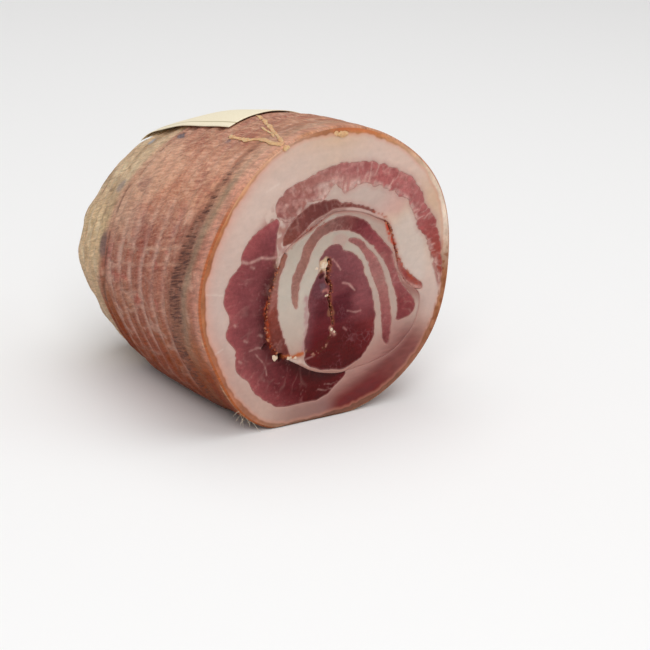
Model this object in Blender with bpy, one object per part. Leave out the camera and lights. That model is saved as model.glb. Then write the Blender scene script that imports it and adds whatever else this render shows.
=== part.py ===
"""Half of a rolled pancetta: layers wound in a spiral, shown by one flat cut face.

Metres, +Z up. The roll lies along Y, its cut face looks to -Y and it rests on z = 0.
Every layer that shows in the cut face is a solid of its own that runs through the roll.
"""
import math

import bmesh
import bpy

for old in list(bpy.data.objects):
    bpy.data.objects.remove(old, do_unlink=True)

MM = 0.001

# Driving dimensions, in millimetres
AXIS_HEIGHT = 70.0          # middle of the spiral above the rest, at the cut face
BODY_LENGTH = 142.0         # cut face to the edge of the rounded far end
END_BULGE = 7.0             # how far the far end swells past that edge
LAYER_LENGTH = 125.0        # how far the inner layers run
NARROWING = 0.104           # share of the section lost over the first 90 mm
END_ROUND = 63.7            # length over which the far end rounds off
END_SHARE = 0.777           # section left where the rounding stops
END_SQUEEZE = 0.08          # extra drop in height at the far end
GAP = 0.30                  # clearance between neighbouring layers
RIM_ROUND = 1.1             # softened edge of the cut
AROUND = 76                 # steps round the outer skin
NET_PITCH = 10.8            # spacing of the rings that the net pressed in
NET_DEPTH = 0.75
NET_FIRST = 33.0
NET_LAST = 87.0
BAND_PLACE = 19.0           # groove behind the cut
BAND_DEPTH = 0.6
CREASE_PLACE = 93.0         # deep crease before the gathered end
CREASE_DEPTH = 1.7

# Outer skin: radius at each hour round the cut face, clockwise from the top
SKIN = (74.6, 73.5, 75.0, 73.8, 76.0, 74.0, 72.0, 77.0, 73.8, 75.4, 73.9, 75.7)

# Line between the outer and the inner turn: angle in degrees, radius
SEAM = ((0, 32.5), (15, 33.5), (30, 35), (45, 37.5), (56, 40.5), (70, 40), (80, 40.6), (88, 41.3),
        (93, 42.6), (97, 45), (101, 49), (105, 57), (110, 60), (120, 62), (130, 61), (140, 58),
        (150, 54), (160, 51), (170, 49.5), (180, 47.3), (190, 45.5), (200, 43.6), (210, 43),
        (220, 43.2), (230, 43.4), (240, 41.8), (250, 38.9), (260, 36), (270, 34), (280, 32.8),
        (290, 32.2), (300, 32.4), (310, 31.4), (320, 29.8), (330, 29), (340, 29.5), (350, 31))

# Lean layers: angle, inner radius, outer radius; None where the layer meets the seam
SIDE = ((-45, 44.5, 48), (-52, 40.3, 51), (-60, 37, 54), (-68, 34.5, 55.3), (-75, None, 55),
        (-83, None, 59.5), (-92, None, 61.3), (-100, None, 58.5), (-108, None, 62.1),
        (-117, None, 59.8), (-124, None, 64), (-134, None, 63.2), (-144, None, 65.3),
        (-157, None, 65), (-165, None, 62.5), (-172, None, 61), (-180, None, 59.5),
        (-188, None, 55), (-194, None, 52))
TOP = ((-43, 46, 48.5), (-40, 41, 53), (-34, 40.3, 54.7), (-27, 40.5, 55.5), (-22, 42.5, 54.3),
       (-14, 40.9, 54.2), (-6, 41.5, 55.3), (0, 46.5, 56), (7, 42.5, 56.8), (14, 44.6, 57.7),
       (20, 48.5, 58.5), (30, 49.5, 60.5), (38, 51, 61.8), (46, 53, 63.9), (54, 55.3, 64.2),
       (62, 55, 63.2), (70, 55.8, 66), (78, 59, 66.9), (87, 62.3, 68.5), (95, 66.5, 69.8),
       (100, 69, 69.9))
DARK = ((-54, 34.5, 36), (-48, 31.9, 37.8), (-40, 31, 38.8), (-32, 31, 39.6), (-24, 32, 39.5),
        (-16, 32.6, 39.2), (-8, 33, 38.8), (0, 34.4, 39), (8, 34.8, 37), (16, 35.4, 37.6),
        (26, 36.4, 38), (36, 37.6, 38.8), (41, 38.2, 38.8))
WEDGE = ((85, None, 42.6), (90, None, 44.2), (94, None, 47.6), (97, None, 51.3), (100, None, 57),
         (102, None, 59))
STRIP = ((-148, 40.5, None), (-140, 37.5, None), (-130, 35, None), (-120, 33.5, None),
         (-110, 32, None), (-100, 31, None), (-90, 30.2, None), (-80, 30, None),
         (-70, 29.6, None), (-60, 30.2, None))
MID = ((-121, 21.3, 22.8), (-112, 19.6, 23.3), (-100, 18.5, 22.7), (-88, 17.8, 22.6),
       (-76, 17, 22.1), (-62, 16.5, 22), (-48, 17.6, 23.2), (-36, 19.2, 25.6), (-22, 21.7, 27.4),
       (-8, 23.1, 28.6), (6, 23.7, 30.2), (20, 24.5, 31.4), (36, 25.4, 32.4), (52, 26.2, 32.6),
       (64, 28.2, 34.2), (76, 30.7, 37.6), (86, 33.6, 39.1), (95, 36.7, 41.6), (102, 39.5, 46),
       (108, 43, 54), (112, 45.5, 58), (117, 48, 57), (122, 49.8, 52.2))
THIN = ((30, 20, 21.5), (40, 20.5, 23.4), (52, 21.2, 24.5), (64, 21.8, 25.6), (75, 22.7, 28),
        (86, 24.2, 30.8), (96, 26, 33.3), (105, 29.5, 37), (114, 34, 41), (122, 38.3, 46),
        (129, 43, 50.3), (135, 48.5, 54.5))
# The middle is one lobe: angle, radius
CORE = ((0, 16.5), (14, 17.2), (27, 15.4), (38, 15.8), (50, 17.2), (64, 18.2), (78, 19.8),
        (90, 21.2), (100, 23.7), (108, 26.4), (116, 29.8), (124, 34.4), (132, 39), (139, 43.6),
        (147, 46.8), (157, 48.6), (168, 48), (178, 46), (188, 44.2), (196, 42), (202, 35),
        (209, 24.5), (217, 19), (228, 16.3), (242, 13), (260, 10.4), (280, 8.5), (305, 8), (330, 13))

# Crack down the middle lobe: height above the rest, sideways place, half width, depth
CRACK = ((79.0, -1.6, 0.15, 1.0), (73.0, -1.0, 1.3, 6.0), (66.0, 0.2, 0.8, 7.0),
         (59.0, 1.3, 0.9, 6.0), (52.0, 1.0, 0.6, 4.0), (46.0, 2.4, 0.15, 1.0))

# Paper label: span along the roll and round it (degrees from the top)
LABEL_START = 48.0
LABEL_SKEW = 9.0
LABEL_LENGTH = 76.0
LABEL_FROM = -22.0
LABEL_TO = 19.0
LABEL_LIFT = 1.7
LABEL_THICK = 0.5


def ease(value, start, stop):
    t = min(max((value - start) / (stop - start), 0.0), 1.0)
    return t * t * (3.0 - 2.0 * t)


def skin_radius(angle):
    """Smooth radius of the outer skin at an angle in degrees."""
    t = (angle / 30.0) % 12.0
    i = int(math.floor(t))
    w = t - i
    a, b, c, d = (SKIN[(i + k) % 12] for k in (-1, 0, 1, 2))
    return 0.5 * (2 * b + (c - a) * w + (2 * a - 5 * b + 4 * c - d) * w ** 2
                  + (3 * b - a - 3 * c + d) * w ** 3)


def seam_radius(angle):
    a = angle % 360.0
    knots = SEAM + ((360, SEAM[0][1]),)
    for (a0, r0), (a1, r1) in zip(knots, knots[1:]):
        if a0 <= a <= a1:
            return r0 + (r1 - r0) * (a - a0) / (a1 - a0)
    return SEAM[0][1]


def place(angle, radius, y):
    """Point of the roll: the section shrinks along Y and rounds off at the far end."""
    inside = max(y, 0.0)
    narrow = 1.0 - NARROWING * (inside / 90.0) ** 1.5
    t = min(max((inside - (BODY_LENGTH - END_ROUND)) / END_ROUND, 0.0), 1.0)
    rounding = END_SHARE + (1.0 - END_SHARE) * math.sqrt(1.0 - t * t)
    squeeze = 1.0 - END_SQUEEZE * ease(inside, 84.0, BODY_LENGTH)
    reach = radius * narrow * rounding
    x = reach * math.sin(math.radians(angle))
    z = AXIS_HEIGHT * narrow + reach * squeeze * math.cos(math.radians(angle))
    return x, y, z


def skin_relief(angle, y):
    """Rings pressed by the net, the groove, the crease and the gathered folds."""
    a = math.radians(angle)
    wave = 0.5 * math.sin(2 * a + 0.6) * ease(y, 4, 30) + 0.35 * math.sin(3 * a + y / 21.0)
    wave *= ease(y, 3, 24)
    rings = 0.0
    if NET_FIRST - NET_PITCH < y < NET_LAST + NET_PITCH:
        phase = (y - NET_FIRST + 0.9 * math.sin(2 * a + 1.0)) / NET_PITCH
        rings = -NET_DEPTH * max(math.cos(2 * math.pi * phase), -0.45)
        rings *= ease(y, NET_FIRST - 9, NET_FIRST) * (1 - ease(y, NET_LAST, NET_LAST + 6))
    groove = -BAND_DEPTH * math.exp(-((y - BAND_PLACE) / 5.0) ** 2)
    crease = -CREASE_DEPTH * math.exp(-((y - CREASE_PLACE - 4 * math.sin(a + 2.2)) / 3.2) ** 2)
    crease *= 0.55 + 0.45 * math.sin(2 * a - 0.5)
    folds = 0.55 * math.cos(2 * math.pi * (y - 104) / 8.0) * ease(y, 98, 108)
    pleats = (0.7 * math.cos(11 * a + 0.4) + 0.5 * math.cos(17 * a + 2.0)) * ease(y, 106, 136)
    return wave + rings + groove + crease + folds + pleats


def build(name, verts, faces):
    mesh = bpy.data.meshes.new(name)
    mesh.from_pydata([(x * MM, y * MM, z * MM) for x, y, z in verts], [], faces)
    bm = bmesh.new()
    bm.from_mesh(mesh)
    bmesh.ops.remove_doubles(bm, verts=bm.verts, dist=1e-7)
    bmesh.ops.triangulate(bm, faces=[f for f in bm.faces if len(f.verts) > 4])
    bmesh.ops.recalc_face_normals(bm, faces=bm.faces)
    bm.to_mesh(mesh)
    bm.free()
    obj = bpy.data.objects.new(name, mesh)
    bpy.context.scene.collection.objects.link(obj)
    return obj


def skin_rows():
    rows = [0.0, RIM_ROUND, 5.0, 10.0, 14.5, BAND_PLACE, 23.5, 28.0]
    y = NET_FIRST
    while y <= NET_LAST:
        rows.append(y)
        rows.append(y + 0.35 * NET_PITCH)
        rows.append(y + 0.7 * NET_PITCH)
        y += NET_PITCH
    rows += [98.0, 101.5, 105.5, 109.5, 113.5, 117.5, 121.5, 125.5, 129.5, 133.5, 137.0, 139.8]
    return sorted(set(round(r, 2) for r in rows))


def make_body():
    """Closed outer form of the roll, flat in front and gathered behind."""
    rows = skin_rows()
    verts = []
    for y in rows:
        for k in range(AROUND):
            angle = 360.0 * k / AROUND
            radius = skin_radius(angle) + skin_relief(angle, y)
            radius -= RIM_ROUND * 0.85 if y == 0.0 else 0.0
            x, yy, z = place(angle, radius, y)
            verts.append((x, yy, max(z, 0.0)))
    # far end: rings that close on the middle, drawn in by the pleats
    closing = ((0.95, 0.22), (0.83, 0.55), (0.64, 0.83), (0.42, 0.98), (0.2, 0.95))
    middle = place(0.0, 0.0, BODY_LENGTH)
    for share, rise in closing:
        for k in range(AROUND):
            angle = 360.0 * k / AROUND
            a = math.radians(angle)
            radius = (skin_radius(angle) + skin_relief(angle, 139.8)) * share
            x, _, z = place(angle, radius, BODY_LENGTH)
            pleat = 0.8 * math.cos(13 * a + 0.7) * share * (1 - share) * 4
            verts.append((x, BODY_LENGTH - 1.2 + END_BULGE * rise + pleat, z))
    count = len(rows) + len(closing)
    verts.append((middle[0], BODY_LENGTH - 1.2 + END_BULGE * 0.8, middle[2]))
    faces = [tuple(range(AROUND))]
    for r in range(count - 1):
        for k in range(AROUND):
            n = (k + 1) % AROUND
            faces.append((r * AROUND + k, r * AROUND + n, (r + 1) * AROUND + n, (r + 1) * AROUND + k))
    last = (count - 1) * AROUND
    for k in range(AROUND):
        faces.append((last + k, last + (k + 1) % AROUND, len(verts) - 1))
    return build("outer_fat", verts, faces)


def side_points(layer, column, offset):
    """One edge of a layer; along the seam it takes the seam's own steps."""
    knots = [s[0] for s in SEAM]
    out = []
    for i, row in enumerate(layer):
        if row[column] is not None:
            out.append((row[0], row[column]))
            continue
        out.append((row[0], seam_radius(row[0]) + offset))
        if i + 1 < len(layer) and layer[i + 1][column] is None:
            low, high = sorted((row[0], layer[i + 1][0]))
            extra = [k + turn for k in knots for turn in (-360, 0) if low + 0.5 < k + turn < high - 0.5]
            extra.sort(reverse=row[0] > layer[i + 1][0])
            out += [(k, seam_radius(k) + offset) for k in extra]
    return out


def grow(loop, by):
    """Offset a loop of (angle, radius) outward by a distance, in the plane of the cut."""
    pts = [(r * math.sin(math.radians(a)), r * math.cos(math.radians(a))) for a, r in loop]
    area = sum(p[0] * q[1] - q[0] * p[1] for p, q in zip(pts, pts[1:] + pts[:1]))
    sign = 1.0 if area > 0 else -1.0
    out = []
    for i, p in enumerate(pts):
        a, b = pts[i - 1], pts[(i + 1) % len(pts)]
        n1 = ((p[1] - a[1]), -(p[0] - a[0]))
        n2 = ((b[1] - p[1]), -(b[0] - p[0]))
        l1, l2 = math.hypot(*n1), math.hypot(*n2)
        nx = sign * (n1[0] / l1 + n2[0] / l2)
        nz = sign * (n1[1] / l1 + n2[1] / l2)
        size = math.hypot(nx, nz)
        # mitre, held back at sharp corners
        reach = by / max(size / 2.0, 0.5)
        x = p[0] + nx / size * reach
        z = p[1] + nz / size * reach
        out.append((math.degrees(math.atan2(x, z)), math.hypot(x, z)))
    return out


def prism(name, loop, stations):
    verts = []
    for y in stations:
        for angle, radius in loop:
            verts.append(place(angle, radius, y))
    n = len(loop)
    faces = [tuple(range(n)), tuple(range((len(stations) - 1) * n, len(stations) * n))]
    for s in range(len(stations) - 1):
        for k in range(n):
            m = (k + 1) % n
            faces.append((s * n + k, s * n + m, (s + 1) * n + m, (s + 1) * n + k))
    return build(name, verts, faces)


def stations(front, back):
    return [front] + [y for y in (0.0, 42.0, 84.0, 106.0) if y > front] + [back]


def cut(target, cutter):
    mod = target.modifiers.new("pocket_" + cutter.name, 'BOOLEAN')
    mod.operation = 'DIFFERENCE'
    mod.solver = 'EXACT'
    mod.object = cutter
    bpy.context.view_layer.update()
    graph = bpy.context.evaluated_depsgraph_get()
    result = bpy.data.meshes.new_from_object(target.evaluated_get(graph))
    target.modifiers.clear()
    target.data = result
    bpy.data.objects.remove(cutter, do_unlink=True)


def band(layer, seam_offset):
    return side_points(layer, 2, seam_offset) + side_points(layer, 1, seam_offset)[::-1]


def make_crack():
    """Wedge-shaped split in the middle lobe, widest at the cut."""
    verts = []
    for height, x, half, depth in CRACK:
        verts += [(x - half, -1.0, height), (x + half, -1.0, height), (x + 0.3 * half, depth, height),
                  (x - 0.3 * half, depth, height)]
    faces = [(0, 1, 2, 3), tuple(range(len(verts) - 4, len(verts)))]
    for s in range(len(CRACK) - 1):
        for k in range(4):
            m = (k + 1) % 4
            faces.append((s * 4 + k, s * 4 + m, (s + 1) * 4 + m, (s + 1) * 4 + k))
    return build("crack", verts, faces)


def make_label():
    """Paper that lies on the skin, lifted a little and bent with it."""
    steps_y, steps_a = 8, 9
    verts = []
    for layer in (0, 1):
        for i in range(steps_a + 1):
            angle = LABEL_FROM + (LABEL_TO - LABEL_FROM) * i / steps_a
            for j in range(steps_y + 1):
                share = j / steps_y
                y = LABEL_START + LABEL_SKEW * i / steps_a + LABEL_LENGTH * share
                lift = LABEL_LIFT + layer * LABEL_THICK + 0.8 * share ** 2
                angle_here = angle - 3.0 * share
                verts.append(place(angle_here, skin_radius(angle_here) + lift, y))
    n = steps_y + 1
    m = steps_a + 1
    half = n * m
    faces = []
    for i in range(steps_a):
        for j in range(steps_y):
            q = (i * n + j, i * n + j + 1, (i + 1) * n + j + 1, (i + 1) * n + j)
            faces.append(q)
            faces.append(tuple(half + v for v in q))
    rim = [j for j in range(n)] + [i * n + n - 1 for i in range(1, m)]
    rim += [(m - 1) * n + j for j in range(n - 2, -1, -1)] + [i * n for i in range(m - 2, 0, -1)]
    for a, b in zip(rim, rim[1:] + rim[:1]):
        faces.append((a, b, half + b, half + a))
    return build("label", verts, faces)


def material(name, colour, roughness):
    mat = bpy.data.materials.new(name)
    mat.use_nodes = True
    shader = mat.node_tree.nodes["Principled BSDF"]
    shader.inputs["Base Color"].default_value = (*colour, 1.0)
    shader.inputs["Roughness"].default_value = roughness
    shader.inputs["Metallic"].default_value = 0.0
    mat.diffuse_color = (*colour, 1.0)
    return mat


LEANS = {
    "side_lean": (SIDE, "outer", 0.3, (0.20, 0.055, 0.06)),
    "top_lean": (TOP, "outer", 0.2, (0.30, 0.10, 0.10)),
    "dark_lean": (DARK, "outer", 0.25, (0.16, 0.045, 0.045)),
    "wedge_lean": (WEDGE, "outer", 0.2, (0.26, 0.055, 0.055)),
    "strip_lean": (STRIP, "inner", 0.3, (0.22, 0.07, 0.07)),
    "mid_lean": (MID, "inner", 0.2, (0.24, 0.08, 0.085)),
    "thin_lean": (THIN, "inner", 0.2, (0.26, 0.09, 0.095)),
    "core_lean": (CORE, "inner", 0.35, (0.14, 0.03, 0.038)),
}

outer = make_body()
seam_loop = [(a, r) for a, r in SEAM]
inner = prism("inner_fat", seam_loop, stations(0.0, LAYER_LENGTH))
seam_room = prism("seam_room", grow(seam_loop, GAP), stations(-4.0, LAYER_LENGTH + GAP))
cut(outer, seam_room)

made = {"outer_fat": outer, "inner_fat": inner}
for name, (layer, turn, recess, colour) in LEANS.items():
    if name == "core_lean":
        loop = list(layer)
        pocket = grow(loop, GAP)
    elif turn == "outer":
        loop = band(layer, GAP)
        pocket = grow(band(layer, -3.0), GAP)
    else:
        loop = band(layer, 0.0)
        pocket = grow(band(layer, 3.0), GAP)
    made[name] = prism(name, loop, stations(recess, LAYER_LENGTH))
    cutter = prism(name + "_room", pocket, stations(-4.0, LAYER_LENGTH + GAP))
    cut(outer if turn == "outer" else inner, cutter)
cut(made["core_lean"], make_crack())
made["label"] = make_label()

COLOURS = {
    "outer_fat": ("skin_and_fat", (0.62, 0.40, 0.32), 0.5),
    "inner_fat": ("inner_fat", (0.66, 0.50, 0.42), 0.45),
    "label": ("label_paper", (0.86, 0.80, 0.66), 0.75),
}
for name, (layer, turn, recess, colour) in LEANS.items():
    COLOURS[name] = (name + "_meat", colour, 0.4)

# origin under the middle of the whole, on the rest
every = [v.co for obj in made.values() for v in obj.data.vertices]
shift_x = 0.5 * (min(c.x for c in every) + max(c.x for c in every))
shift_y = 0.5 * (min(c.y for c in every) + max(c.y for c in every))
print("middle moved by", round(shift_x / MM, 3), round(shift_y / MM, 3))
for name, obj in made.items():
    for vertex in obj.data.vertices:
        vertex.co.x -= shift_x
        vertex.co.y -= shift_y
    obj.data.materials.clear()
    obj.data.materials.append(material(*COLOURS[name]))
    bm = bmesh.new()
    bm.from_mesh(obj.data)
    # smooth shading except across the edges of the cut
    for face in bm.faces:
        face.smooth = True
    for edge in bm.edges:
        if len(edge.link_faces) == 2 and edge.calc_face_angle(0.0) > math.radians(38.0):
            edge.smooth = False
    bm.to_mesh(obj.data)
    bm.free()
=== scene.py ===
"""Half of a rolled pancetta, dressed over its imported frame.

Lengths in the tables are millimetres and are turned to metres where a mesh is made.
Angles run clockwise from the top for someone who faces the cut.
"""

import math

import bpy
import numpy as np
from mathutils import Matrix, Vector
from mathutils.geometry import delaunay_2d_cdt
from mathutils.kdtree import KDTree


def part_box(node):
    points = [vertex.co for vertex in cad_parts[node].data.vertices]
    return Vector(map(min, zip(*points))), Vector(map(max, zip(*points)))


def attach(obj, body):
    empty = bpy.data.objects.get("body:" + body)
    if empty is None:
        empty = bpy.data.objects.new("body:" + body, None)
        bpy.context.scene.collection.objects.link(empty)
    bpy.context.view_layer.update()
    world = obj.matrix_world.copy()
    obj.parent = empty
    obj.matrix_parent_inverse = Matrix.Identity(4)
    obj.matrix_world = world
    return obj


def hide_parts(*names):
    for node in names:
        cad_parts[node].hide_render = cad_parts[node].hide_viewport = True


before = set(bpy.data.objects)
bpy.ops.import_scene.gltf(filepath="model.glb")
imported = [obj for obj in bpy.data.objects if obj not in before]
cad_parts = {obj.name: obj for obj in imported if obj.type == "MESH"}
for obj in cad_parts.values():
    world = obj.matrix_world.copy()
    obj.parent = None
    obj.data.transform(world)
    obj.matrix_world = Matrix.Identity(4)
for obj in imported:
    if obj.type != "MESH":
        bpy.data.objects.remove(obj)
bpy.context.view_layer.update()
MM = 0.001

# Sizes shared with the solids
AXIS_HEIGHT = 70.0
BODY_LENGTH = 142.0
END_BULGE = 7.0
LAYER_LENGTH = 125.0
NARROWING = 0.104
END_ROUND = 63.7
END_SHARE = 0.777
END_SQUEEZE = 0.08
NET_PITCH = 10.8
NET_DEPTH = 0.75
NET_FIRST = 33.0
NET_LAST = 87.0
BAND_PLACE = 19.0
CREASE_PLACE = 93.0
SIDE_SHIFT = 0.8
CUT_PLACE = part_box("outer_fat")[0].y / MM

# How far the cut's rim and the rind's paint start under the skin, and where the casing takes over
CASING_INSET = 0.95
RIND_TOP = 0.9
RIM_OPEN = 1.6
# Gap of the seam, how far a layer's pocket reaches over the seam, and the pocket's play
SEAM_GAP = 0.06
POCKET_REACH = 0.9
POCKET_GAP = 0.05
# The casing laid flat: its radius, and millimetres to a degree round it
MEAN_RADIUS = 74.0
PER_DEGREE = 1.29
# Radius at which the bundles of the lean have their true width
LEAN_RADIUS = 52.0
# How far the net's rings swing along the roll, and the height of the bump under the label
CORD_LEAN = 0.9
LABEL_BUMP = 2.6

# Radius of the skin every 30 degrees, and of the seam at its own angles
SKIN = (74.6, 73.5, 75.0, 73.8, 76.0, 74.0, 72.0, 77.0, 73.8, 75.4, 73.9, 75.7)
SEAM = ((0, 32.5), (15, 33.5), (30, 35), (45, 37.5), (56, 40.5), (70, 40), (80, 40.6), (88, 41.3),
        (93, 42.6), (97, 45), (101, 49), (105, 57), (110, 60), (120, 62), (130, 61), (140, 58),
        (150, 54), (160, 51), (170, 49.5), (180, 47.3), (190, 45.5), (200, 43.6), (210, 43),
        (220, 43.2), (230, 43.4), (240, 41.8), (250, 38.9), (260, 36), (270, 34), (280, 32.8),
        (290, 32.2), (300, 32.4), (310, 31.4), (320, 29.8), (330, 29), (340, 29.5), (350, 31))

# Lean layers: angle, inner radius, outer radius; None where the layer meets the seam
LAYERS = {
    "side_lean": ((-45, 44.5, 48), (-52, 40.3, 51), (-60, 37, 54), (-68, 34.5, 55.3),
                  (-75, None, 55), (-83, None, 59.5), (-92, None, 61.3), (-100, None, 58.5),
                  (-108, None, 62.1), (-117, None, 59.8), (-124, None, 64), (-134, None, 63.2),
                  (-144, None, 65.3), (-157, None, 65), (-165, None, 62.5), (-172, None, 61),
                  (-180, None, 59.5), (-188, None, 55), (-194, None, 52)),
    "top_lean": ((-43, 46, 48.5), (-40, 41, 53), (-34, 40.3, 54.7), (-27, 40.5, 55.5),
                 (-22, 42.5, 54.3), (-14, 40.9, 54.2), (-6, 41.5, 55.3), (0, 46.5, 56),
                 (7, 42.5, 56.8), (14, 44.6, 57.7), (20, 48.5, 58.5), (30, 49.5, 60.5),
                 (38, 51, 61.8), (46, 53, 63.9), (54, 55.3, 64.2), (62, 55, 63.2),
                 (70, 55.8, 66), (78, 59, 66.9), (87, 62.3, 68.5), (95, 66.5, 69.8),
                 (100, 69, 69.9)),
    "dark_lean": ((-54, 34.5, 36), (-48, 31.9, 38.2), (-40, 31, 39.6), (-32, 31, 40.2),
                  (-24, 32, 40.4), (-16, 32.6, 40.2), (-8, 33, 39.6), (0, 34.4, 39),
                  (8, 34.8, 37), (16, 35.4, 37.6), (26, 36.4, 38), (36, 37.6, 38.8),
                  (41, 38.2, 38.8)),
    "wedge_lean": ((85, None, 42.6), (90, None, 44.2), (94, None, 47.6), (97, None, 51.3),
                   (100, None, 57), (102, None, 59)),
    "strip_lean": ((-148, 40.5, None), (-140, 37.5, None), (-130, 35, None),
                   (-120, 33.5, None), (-110, 32, None), (-100, 31, None), (-90, 30.2, None),
                   (-80, 30, None), (-70, 29.6, None), (-60, 30.2, None)),
    "mid_lean": ((-121, 21.3, 22.8), (-112, 19.6, 23.3), (-100, 18.5, 22.7), (-88, 17.8, 22.6),
                 (-76, 17, 22.1), (-62, 16.5, 22), (-48, 17.6, 23.2), (-36, 19.2, 25.6),
                 (-22, 21.7, 27.4), (-8, 23.1, 28.6), (6, 23.7, 30.2), (20, 24.5, 31.4),
                 (36, 25.4, 32.4), (52, 26.2, 32.6), (64, 28.2, 34.2), (76, 30.7, 37.6),
                 (86, 33.6, 39.1), (95, 36.7, 41.6), (102, 39.5, 46), (108, 43, 54),
                 (112, 45.5, 58), (117, 48, 57), (122, 49.8, 52.2)),
    "thin_lean": ((30, 20, 21.5), (40, 20.5, 23.4), (52, 21.2, 24.5), (64, 21.8, 25.6),
                  (75, 22.7, 28), (86, 24.2, 30.8), (96, 26, 33.3), (105, 29.5, 37),
                  (114, 34, 41), (122, 38.3, 46), (129, 43, 50.3), (135, 48.5, 54.5)),
}
CORE = ((0, 16.5), (14, 17.2), (27, 15.4), (38, 15.8), (50, 17.2), (64, 18.2), (78, 19.8),
        (90, 21.2), (100, 23.7), (108, 26.4), (116, 29.8), (124, 34.4), (132, 39), (139, 43.6),
        (147, 46.8), (157, 48.6), (168, 48), (178, 46), (188, 44.2), (196, 42), (202, 35),
        (209, 24.5), (217, 19), (228, 16.3), (242, 13), (260, 10.4), (280, 8.5), (305, 8),
        (330, 13))

# Scalloped edges of the lean: width of a scallop and its depth, outside and then inside
SCALLOPS = {
    "side_lean": (8.6, 0.6, 5.0, 0.35),
    "top_lean": (6.6, 1.0, 4.8, 1.1),
    "dark_lean": (4.0, 0.55, 6.0, 0.15),
    "wedge_lean": (5.0, 0.35, 5.0, 0.0),
    "strip_lean": (5.0, 0.0, 4.5, 0.35),
    "mid_lean": (5.5, 0.22, 5.0, 0.22),
    "thin_lean": (5.0, 0.25, 5.0, 0.25),
}

# Split down the middle lobe: sideways, up from the middle of the spiral, half width, depth
CRACK = ((-1.2, 9.6, 0.3, 1.0), (-0.9, 6.8, 1.35, 5.0), (-0.8, 3.5, 1.2, 6.0),
         (-1.2, 0.8, 0.8, 4.5), (0.6, -2.6, 0.6, 4.0), (1.2, -5.6, 0.5, 3.0),
         (0.6, -9.5, 0.45, 3.0), (1.6, -13.5, 0.9, 4.0), (2.0, -16.5, 0.7, 3.0),
         (2.2, -20.0, 0.4, 2.0), (3.0, -23.0, 0.25, 0.6))

# Ragged edges of the lean, by layer and side: how far the lumps stand out, their size and seed,
# then the same three for the finer lumps on them
RAGGED = {
    ("side_lean", 1): (1.5, 4.5, 16, 0.8, 1.8, 17),
    ("side_lean", 2): (0.5, 4.0, 20, 0.3, 1.6, 21),
    ("dark_lean", 2): (0.5, 3.0, 18, 0.25, 1.3, 19),
    ("top_lean", 1): (0.95, 3.4, 13, 0.4, 1.5, 15),
    ("top_lean", 2): (0.55, 3.4, 14, 0.4, 1.5, 16),
}
for thin in ("mid_lean", "thin_lean", "strip_lean", "wedge_lean"):
    RAGGED[thin, 1] = (0.38, 3.1, 25, 0.22, 1.3, 27)
    RAGGED[thin, 2] = (0.38, 3.1, 26, 0.22, 1.3, 28)

# White that the gloss adds to a tone, by the last word of a piece's name
GLOSS = {"lean": 0.0105, "casing": 0.012}
GLOSS_ELSEWHERE = 0.019


def linear(text):
    """sRGB hex to linear red, green and blue."""
    v = np.array([int(text[i:i + 2], 16) / 255.0 for i in (1, 3, 5)])
    return np.where(v <= 0.04045, v / 12.92, ((v + 0.055) / 1.055) ** 2.4)


def ease(value, start, stop):
    """Smooth step from 0 at start to 1 at stop."""
    t = np.clip((value - start) / (stop - start), 0.0, 1.0)
    return t * t * (3.0 - 2.0 * t)


def dice(ix, iy, iz, seed):
    """A fixed number from 0 to 1 for each whole place and seed."""
    n = (ix * 374761393 + iy * 668265263 + iz * 1442695041 + seed * 974634777) & 0xFFFFFFFF
    n = ((n ^ (n >> 13)) * 1274126177) & 0xFFFFFFFF
    return ((n ^ (n >> 16)) & 0xFFFFFF) / float(0xFFFFFF)


def noise(x, y, z=0.0, size=10.0, seed=0):
    """Smooth noise from -1 to 1 whose lumps are about size wide."""
    x, y, z = np.broadcast_arrays(np.asarray(x, float) / size, np.asarray(y, float) / size,
                                  np.asarray(z, float) / size)
    ix, iy, iz = (np.floor(v).astype(np.int64) for v in (x, y, z))
    fx, fy, fz = (v - i for v, i in ((x, ix), (y, iy), (z, iz)))
    fx, fy, fz = (f * f * (3 - 2 * f) for f in (fx, fy, fz))
    total = 0.0
    for dx in (0, 1):
        for dy in (0, 1):
            for dz in (0, 1):
                w = (fx if dx else 1 - fx) * (fy if dy else 1 - fy) * (fz if dz else 1 - fz)
                total = total + w * dice(ix + dx, iy + dy, iz + dz, seed)
    return total * 2.0 - 1.0


def cloud(x, y, z=0.0, size=10.0, seed=0, layers=3):
    """Noise in layers, each half the size of the last, from -1 to 1."""
    total, weight, share = 0.0, 0.0, 1.0
    for k in range(layers):
        total = total + share * noise(x, y, z, size / 2 ** k, seed + 17 * k)
        weight += share
        share *= 0.55
    return total / weight


def spline(points, per):
    """Smooth curve through rows of numbers, per steps between two of them."""
    p = np.asarray(points, float)
    q = np.vstack([2 * p[0] - p[1], p, 2 * p[-1] - p[-2]])
    a, b, c, d = q[:-3], q[1:-2], q[2:-1], q[3:]
    out = []
    for w in np.arange(per) / per:
        out.append(0.5 * (2 * b + (c - a) * w + (2 * a - 5 * b + 4 * c - d) * w ** 2
                          + (3 * b - a - 3 * c + d) * w ** 3))
    rows = np.stack(out, 1).reshape(-1, p.shape[1])
    return np.vstack([rows, p[-1]])


def skin_radius(angle):
    """Radius of the roll's skin at the cut, the same curve as the solid's."""
    t = (np.asarray(angle, float) / 30.0) % 12.0
    i = np.floor(t).astype(int)
    w = t - i
    s = np.array(SKIN)
    a, b, c, d = (s[(i + k) % 12] for k in (-1, 0, 1, 2))
    return 0.5 * (2 * b + (c - a) * w + (2 * a - 5 * b + 4 * c - d) * w ** 2
                  + (3 * b - a - 3 * c + d) * w ** 3)


seam_line = spline([(a, r) for a, r in SEAM] + [(360, SEAM[0][1])], 6)


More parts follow.
